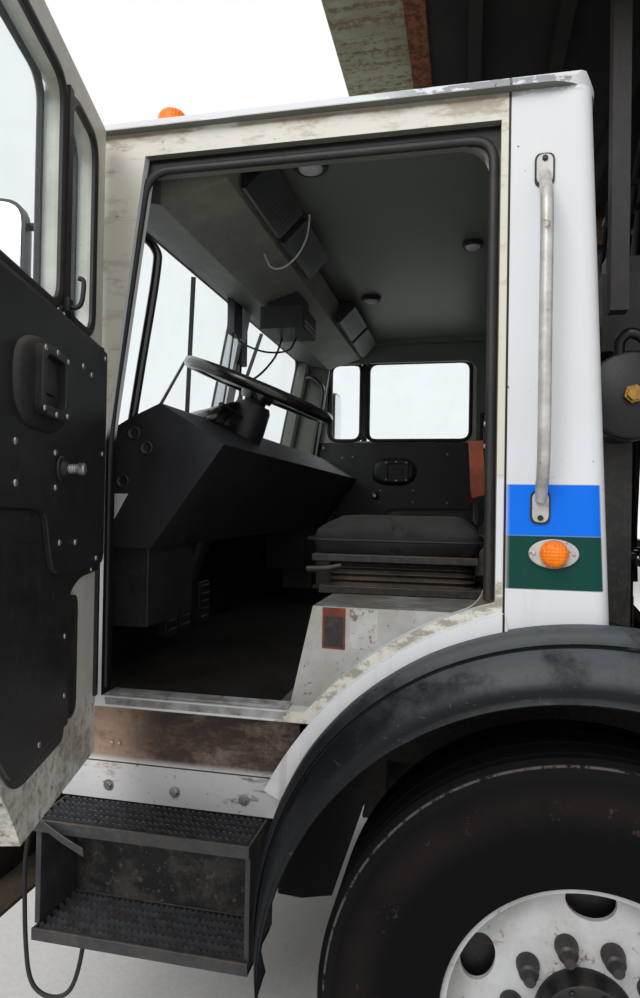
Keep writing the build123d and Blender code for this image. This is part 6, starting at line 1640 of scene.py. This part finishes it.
rubber_trim = Form()
for y_low, y_high in ((0.03, 1.02), (-1.02, -0.03)):
    loop = rounded(corners((y_low, y_high), (1.72, 2.33)), 0.075, 8)
    section = [(-0.013, -0.003), (0.013, -0.003), (0.013, 0.004), (0.005, 0.009), (-0.005, 0.009), (-0.013, 0.004)]
    rubber_trim.sweep([on_screen(y, z, 0.002) for y, z in loop], section, (1, 0, 0.19), loop=True)
for side in (1, -1):
    pivot, tip = (side * 0.52, 1.7), (side * 0.3, 2.06)
    rubber_trim.lathe([(0, 0), (0.02, 0), (0.02, 0.018), (0.014, 0.026), (0, 0.028)], on_screen(*pivot, 0.0),
                      (0.981, 0, 0.192), 20)
    rubber_trim.tube([on_screen(*pivot, 0.026), on_screen(side * 0.45, 1.82, 0.034), on_screen(*tip, 0.026)],
                     [0.008, 0.006, 0.005], 10)
    blade = [on_screen(side * (0.3 + 0.1 * t), 2.06 + 0.27 * t, 0.02) for t in (-0.95, -0.5, 0, 0.5, 0.95)]
    rubber_trim.sweep(blade, [(-0.004, -0.01), (0.004, -0.01), (0.006, 0.004), (-0.006, 0.004)], (1, 0, 0.19))
for k in range(7):
    z = 1.0 + 0.062 * k
    rubber_trim.prism([(1.269, z - 0.0125), (1.2715, z - 0.0145), (1.289, z + 0.01), (1.2865, z + 0.012)],
                      -0.4285, 0.4285)
wide, slim = (rounded(corners((-a, a), (0.965 - b, 1.407 + b)), 0.03, 6) for a, b in ((0.452, 0.012), (0.438, 0.0)))
surround = ((1.2903, wide), (1.3, wide), (1.3, slim), (1.2903, slim))
rubber_trim.rings([[(x, u, z) for u, z in line] for x, line in surround], caps=False)
rubber_trim.done("screen_gaskets_wipers_grille", "gasket", sharp=40, bevel=0.0008)
print("screen and grille")

# %% [markdown]
# ## Bumper, outside pulls and back window
# The bumper has bolts, a ribbed tread to stand on and a bare plate. The outside pulls are drawn on the closed door
# like its other pieces, and the back window gets the same kind of gasket as the screen.

# %% Bumper, outside pulls and back window
metal = Form()
for side in (1, -1):
    for z in (0.585, 0.765):
        for y in (0.36, 0.6, 1.16):
            metal.bolt((1.45, side * y, z), (1, 0, 0), 0.012, 0.01, washer=0.019)
    metal.tube(curved([(1.29, side * 0.56, 1.45), (1.33, side * 0.56, 1.458), (1.336, side * 0.56, 1.5),
                       (1.336, side * 0.7, 1.506), (1.336, side * 0.86, 1.5), (1.33, side * 0.86, 1.458),
                       (1.29, side * 0.86, 1.45)], 5), 0.011, 12)
for k in range(18):
    metal.brick((1.35, 1.44), (-1.18 + 0.134 * k, -1.16 + 0.134 * k), (0.8302, 0.8345))
metal.prism(rounded(corners((-0.262, 0.262), (0.6, 0.75)), 0.012), 1.4502, 1.4545, "x")
metal.done("bumper_fittings", "bright_screw", bevel=0.0012)
plate = Form().prism(rounded(corners((-0.152, 0.152), (0.6, 0.752)), 0.01), 1.455, 1.457, "x")
plate.done("bare_plate", "wheel_paint", bevel=0.0005)


def door_outside(form):
    """The pull's plate, its bow and its lock."""
    form.prism(oblong(0.27, 1.47, 0.15, 0.07, 0.02), 1.1702, 1.1745)
    form.tube(curved([(0.225, 1.172, 1.48), (0.228, 1.192, 1.482), (0.27, 1.197, 1.482), (0.312, 1.192, 1.482),
                      (0.315, 1.172, 1.48)], 4), 0.009, 10)
    form.lathe([(0, 0), (0.012, 0), (0.011, 0.003), (0, 0.004)], (0.27, 1.1745, 1.452), (0, 1, 0), 20)


both_doors("outside_pull", "moulded_black", door_outside, bevel=0.001)
gasket = Form()
loop = rounded(corners((-0.43, 0.43), (1.82, 2.21)), 0.05, 7)
section = [(-0.011, -0.002), (0.011, -0.002), (0.011, 0.004), (0.004, 0.009), (-0.004, 0.009), (-0.011, 0.004)]
gasket.sweep([(-0.0455, y, z) for y, z in loop], section, (-1, 0, 0), loop=True)
gasket.done("back_window_gasket", "gasket", sharp=40)
print("nose dressed")

# %% [markdown]
# ## Arms, forks and cylinders
# Pins get bolted caps, bends get gusset plates, and two hydraulic pipes follow each arm in clamps. They are drawn
# on the arm's own outline, turned by the stowed angle, so they ride on the arms.

# %% Arms and cylinders
TURN = math.radians(54)
PIVOT = Vector((-0.95, 0, 1.12))
ARM_LINE = [(0.0, 0.0), (0.15, 1.18), (0.55, 1.56), (2.0, 1.56), (2.7, 1.08), (2.85, 0.08)]
ARM_FACE = 1.2202


def stowed(a, b, y=0.0):
    """A point of the lowered arm's outline, carried to the stowed place."""
    return PIVOT + Vector((a * math.cos(TURN) - b * math.sin(TURN), y, a * math.sin(TURN) + b * math.cos(TURN)))


caps, pipes, plates = Form(), Form(), Form()
for side in (1, -1):
    for (a, b), r, count in ((ARM_LINE[0], 0.125, 8), (ARM_LINE[-1], 0.062, 4)):
        middle = stowed(a, b, side * ARM_FACE)
        caps.lathe([(0, 0), (r, 0), (r, 0.006), (r * 0.94, 0.01), (r * 0.35, 0.011), (r * 0.3, 0.007), (0, 0.007)],
                   middle, (0, side, 0), 40)
        for u, w in circle(0, 0, r * 0.75, steps=count):
            caps.bolt(middle + Vector((u, side * 0.01, w)), (0, side, 0), 0.01, 0.008)
        caps.lathe([(0, 0), (0.004, 0), (0.003, 0.008), (0, 0.01)], middle + Vector((0, side * 0.007, 0)),
                   (0, side, 0), 10)
    for a, b in ARM_LINE[1:-1]:
        middle = stowed(a, b)
        plates.prism(circle(middle.x, middle.z, 0.082, steps=32), *sorted((side * ARM_FACE, side * 1.2262)))
    for off in (-0.03, 0.03):
        line = ((0.03, 0.25), *ARM_LINE[1:4], (2.6, 1.15))
        route = [stowed(a + off * 0.3, b + off, side * 1.2325) for a, b in line]
        pipes.tube(rounded(route, [0, 0.12, 0.12, 0.12, 0], 6), 0.009, 10)
    for a, b in ((0.08, 0.64), (0.34, 1.36), (0.9, 1.56), (1.45, 1.56), (1.9, 1.56), (2.35, 1.32)):
        middle = stowed(a, b, side * ARM_FACE)
        pipes.lathe([(0, 0), (0.05, 0), (0.05, 0.006), (0, 0.006)], middle, (0, side, 0), 6)
        pipes.bolt(middle + Vector((0, side * 0.006, 0)), (0, side, 0), 0.008, 0.014)
caps.done("arm_pin_caps", "bright_screw", "arms", sharp=40)
pipes.done("arm_pipes", "cylinder_paint", "arms", sharp=40)
plates.done("arm_gussets", "arm_paint", "arms", bevel=0.003)
for name in ("arms", "forks", "front_bumper", "tailgate", "body_sides", "body_roof", "body_head", "frame_rails",
             "cab_floor", "tanks", "packer_blade"):
    soften(frame["nodes"][name], 0.004)
print("arms dressed")

# %% [markdown]
# ## Load body
# Weld beads lie where plates meet, so a thin tube runs along every seam. Amber lamps stand along the sides, and the
# rear ones are red.

# %% Load body
RIB_BEAD_Y, FOOT_BEAD_Y, SEAT_Y = 1.1025, 1.1015, 1.1002
beads, spots, reds, black = Form(), Form(), Form(), Form()
for side in (1, -1):
    for rib in range(5):
        x = -3.3 - 0.64 * rib
        for off in (-0.0475, 0.0475):
            beads.tube([(x + off, side * RIB_BEAD_Y, 1.33), (x + off, side * RIB_BEAD_Y, 3.74)], 0.0055, 6)
    beads.tube([(-3.15, side * RIB_BEAD_Y, 3.7025), (-6.8, side * RIB_BEAD_Y, 3.7025)], 0.0055, 6)
    beads.tube([(-0.8, side * FOOT_BEAD_Y, 1.308), (-6.86, side * FOOT_BEAD_Y, 1.308)], 0.0065, 6)
    for x in (-1.2, -2.6, -4.9, -6.6):
        way, spot = ((x, side * SEAT_Y, 1.262), (0, side, 0), 28), reds if x < -6 else spots
        black.lathe([(0, 0), (0.036, 0), (0.036, 0.006), (0.032, 0.008), (0, 0.008)], *way)
        spot.lathe([(0, 0.0085), (0.029, 0.0085), (0.027, 0.013), (0.015, 0.0155), (0, 0.016)], *way)
beads.done("weld_beads", "body_paint", sharp=60)
spots.done("body_amber_spots", AMBER, sharp=50)
reds.done("body_red_spots", RED, sharp=50)
black.done("body_lamp_seats", "gasket", sharp=50)
print("load body")

# %% [markdown]
# ## Tailgate
# Latches hold the tailgate's foot and a rubber seal stands out of its joint. All of it rides on the tailgate's
# body, so it opens with it.

# %% Tailgate
tail_red, tail_black, tail_seal, latch = Form(), Form(), Form(), Form()
for side in (1, -1):
    for z in (2.25, 2.75):
        tail_black.prism(oblong(side * 0.93, z, 0.15, 0.1, 0.03), -7.572, -7.5602, "x")
        tail_red.prism(oblong(side * 0.93, z, 0.13, 0.08, 0.025), -7.579, -7.5715, "x")
    latch.brick((-6.985, -6.925), (side * SEAT_Y, side * 1.12), (1.33, 1.45))
    latch.tube([(-6.955, side * 1.128, 1.3), (-6.955, side * 1.128, 1.52)], 0.015, 12)
    latch.bolt((-6.955, side * 1.128, 1.52), (0, 0, 1), 0.022, 0.02)
    tail_seal.tube([(-6.914, side * 1.075, 1.3), (-6.914, side * 1.075, 2.6), (-6.914, side * 1.075, 3.8)], 0.0085, 8)
for z in (2.05, 2.55, 3.05):
    for k in range(9):
        y = -1.0 + 0.25 * k
        latch.brick((-7.606, -7.5995), (y - 0.004, y + 0.004), (z + 0.006, z + 0.084))
tail_black.brick((-7.566, -7.5602), (-0.2, 0.2), (1.96, 2.02))
tail_black.done("tail_lamp_seats", "gasket", "tailgate", bevel=0.002)
tail_red.done("tail_lamps", RED, "tailgate", bevel=0.003)
latch.done("tail_latches", "cylinder_paint", "tailgate", bevel=0.002)
tail_seal.done("tail_seal", "gasket", "tailgate")
print("tailgate")

# %% [markdown]
# ## Exhaust
# Round clamps hold the muffler, a guard of upright bars keeps hands off its outer side, and a flap keeps the rain out
# of the stack.

# %% Exhaust
STACK_X, STACK_Y = -0.4, -0.94
stack = Form()
for z in (1.4, 1.72, 2.1, 2.42):
    stack.lathe([(0.1102, -0.018), (0.115, -0.016), (0.115, 0.016), (0.1102, 0.018)], (STACK_X, STACK_Y, z),
                (0, 0, 1), 40)
for x, y in arc((STACK_X, STACK_Y), 0.125, -170, -10, 16):
    stack.brick((x - 0.004, x + 0.004), (y - 0.004, y + 0.004), (1.39, 2.43))
for z in (2.62, 2.9):
    stack.lathe([(0.0622, -0.014), (0.0665, -0.012), (0.0665, 0.012), (0.0622, 0.014)], (STACK_X, STACK_Y, z),
                (0, 0, 1), 32)
stack.lathe([(0, 0), (0.066, 0), (0.066, 0.004), (0, 0.004)], (-0.404, -0.94, 3.262), (-0.35, 0, 1), 32)
stack.brick((-0.478, -0.462), (-0.95, -0.93), (3.215, 3.285))
stack.done("exhaust_guard", "exhaust_steel", sharp=40)
print("exhaust")
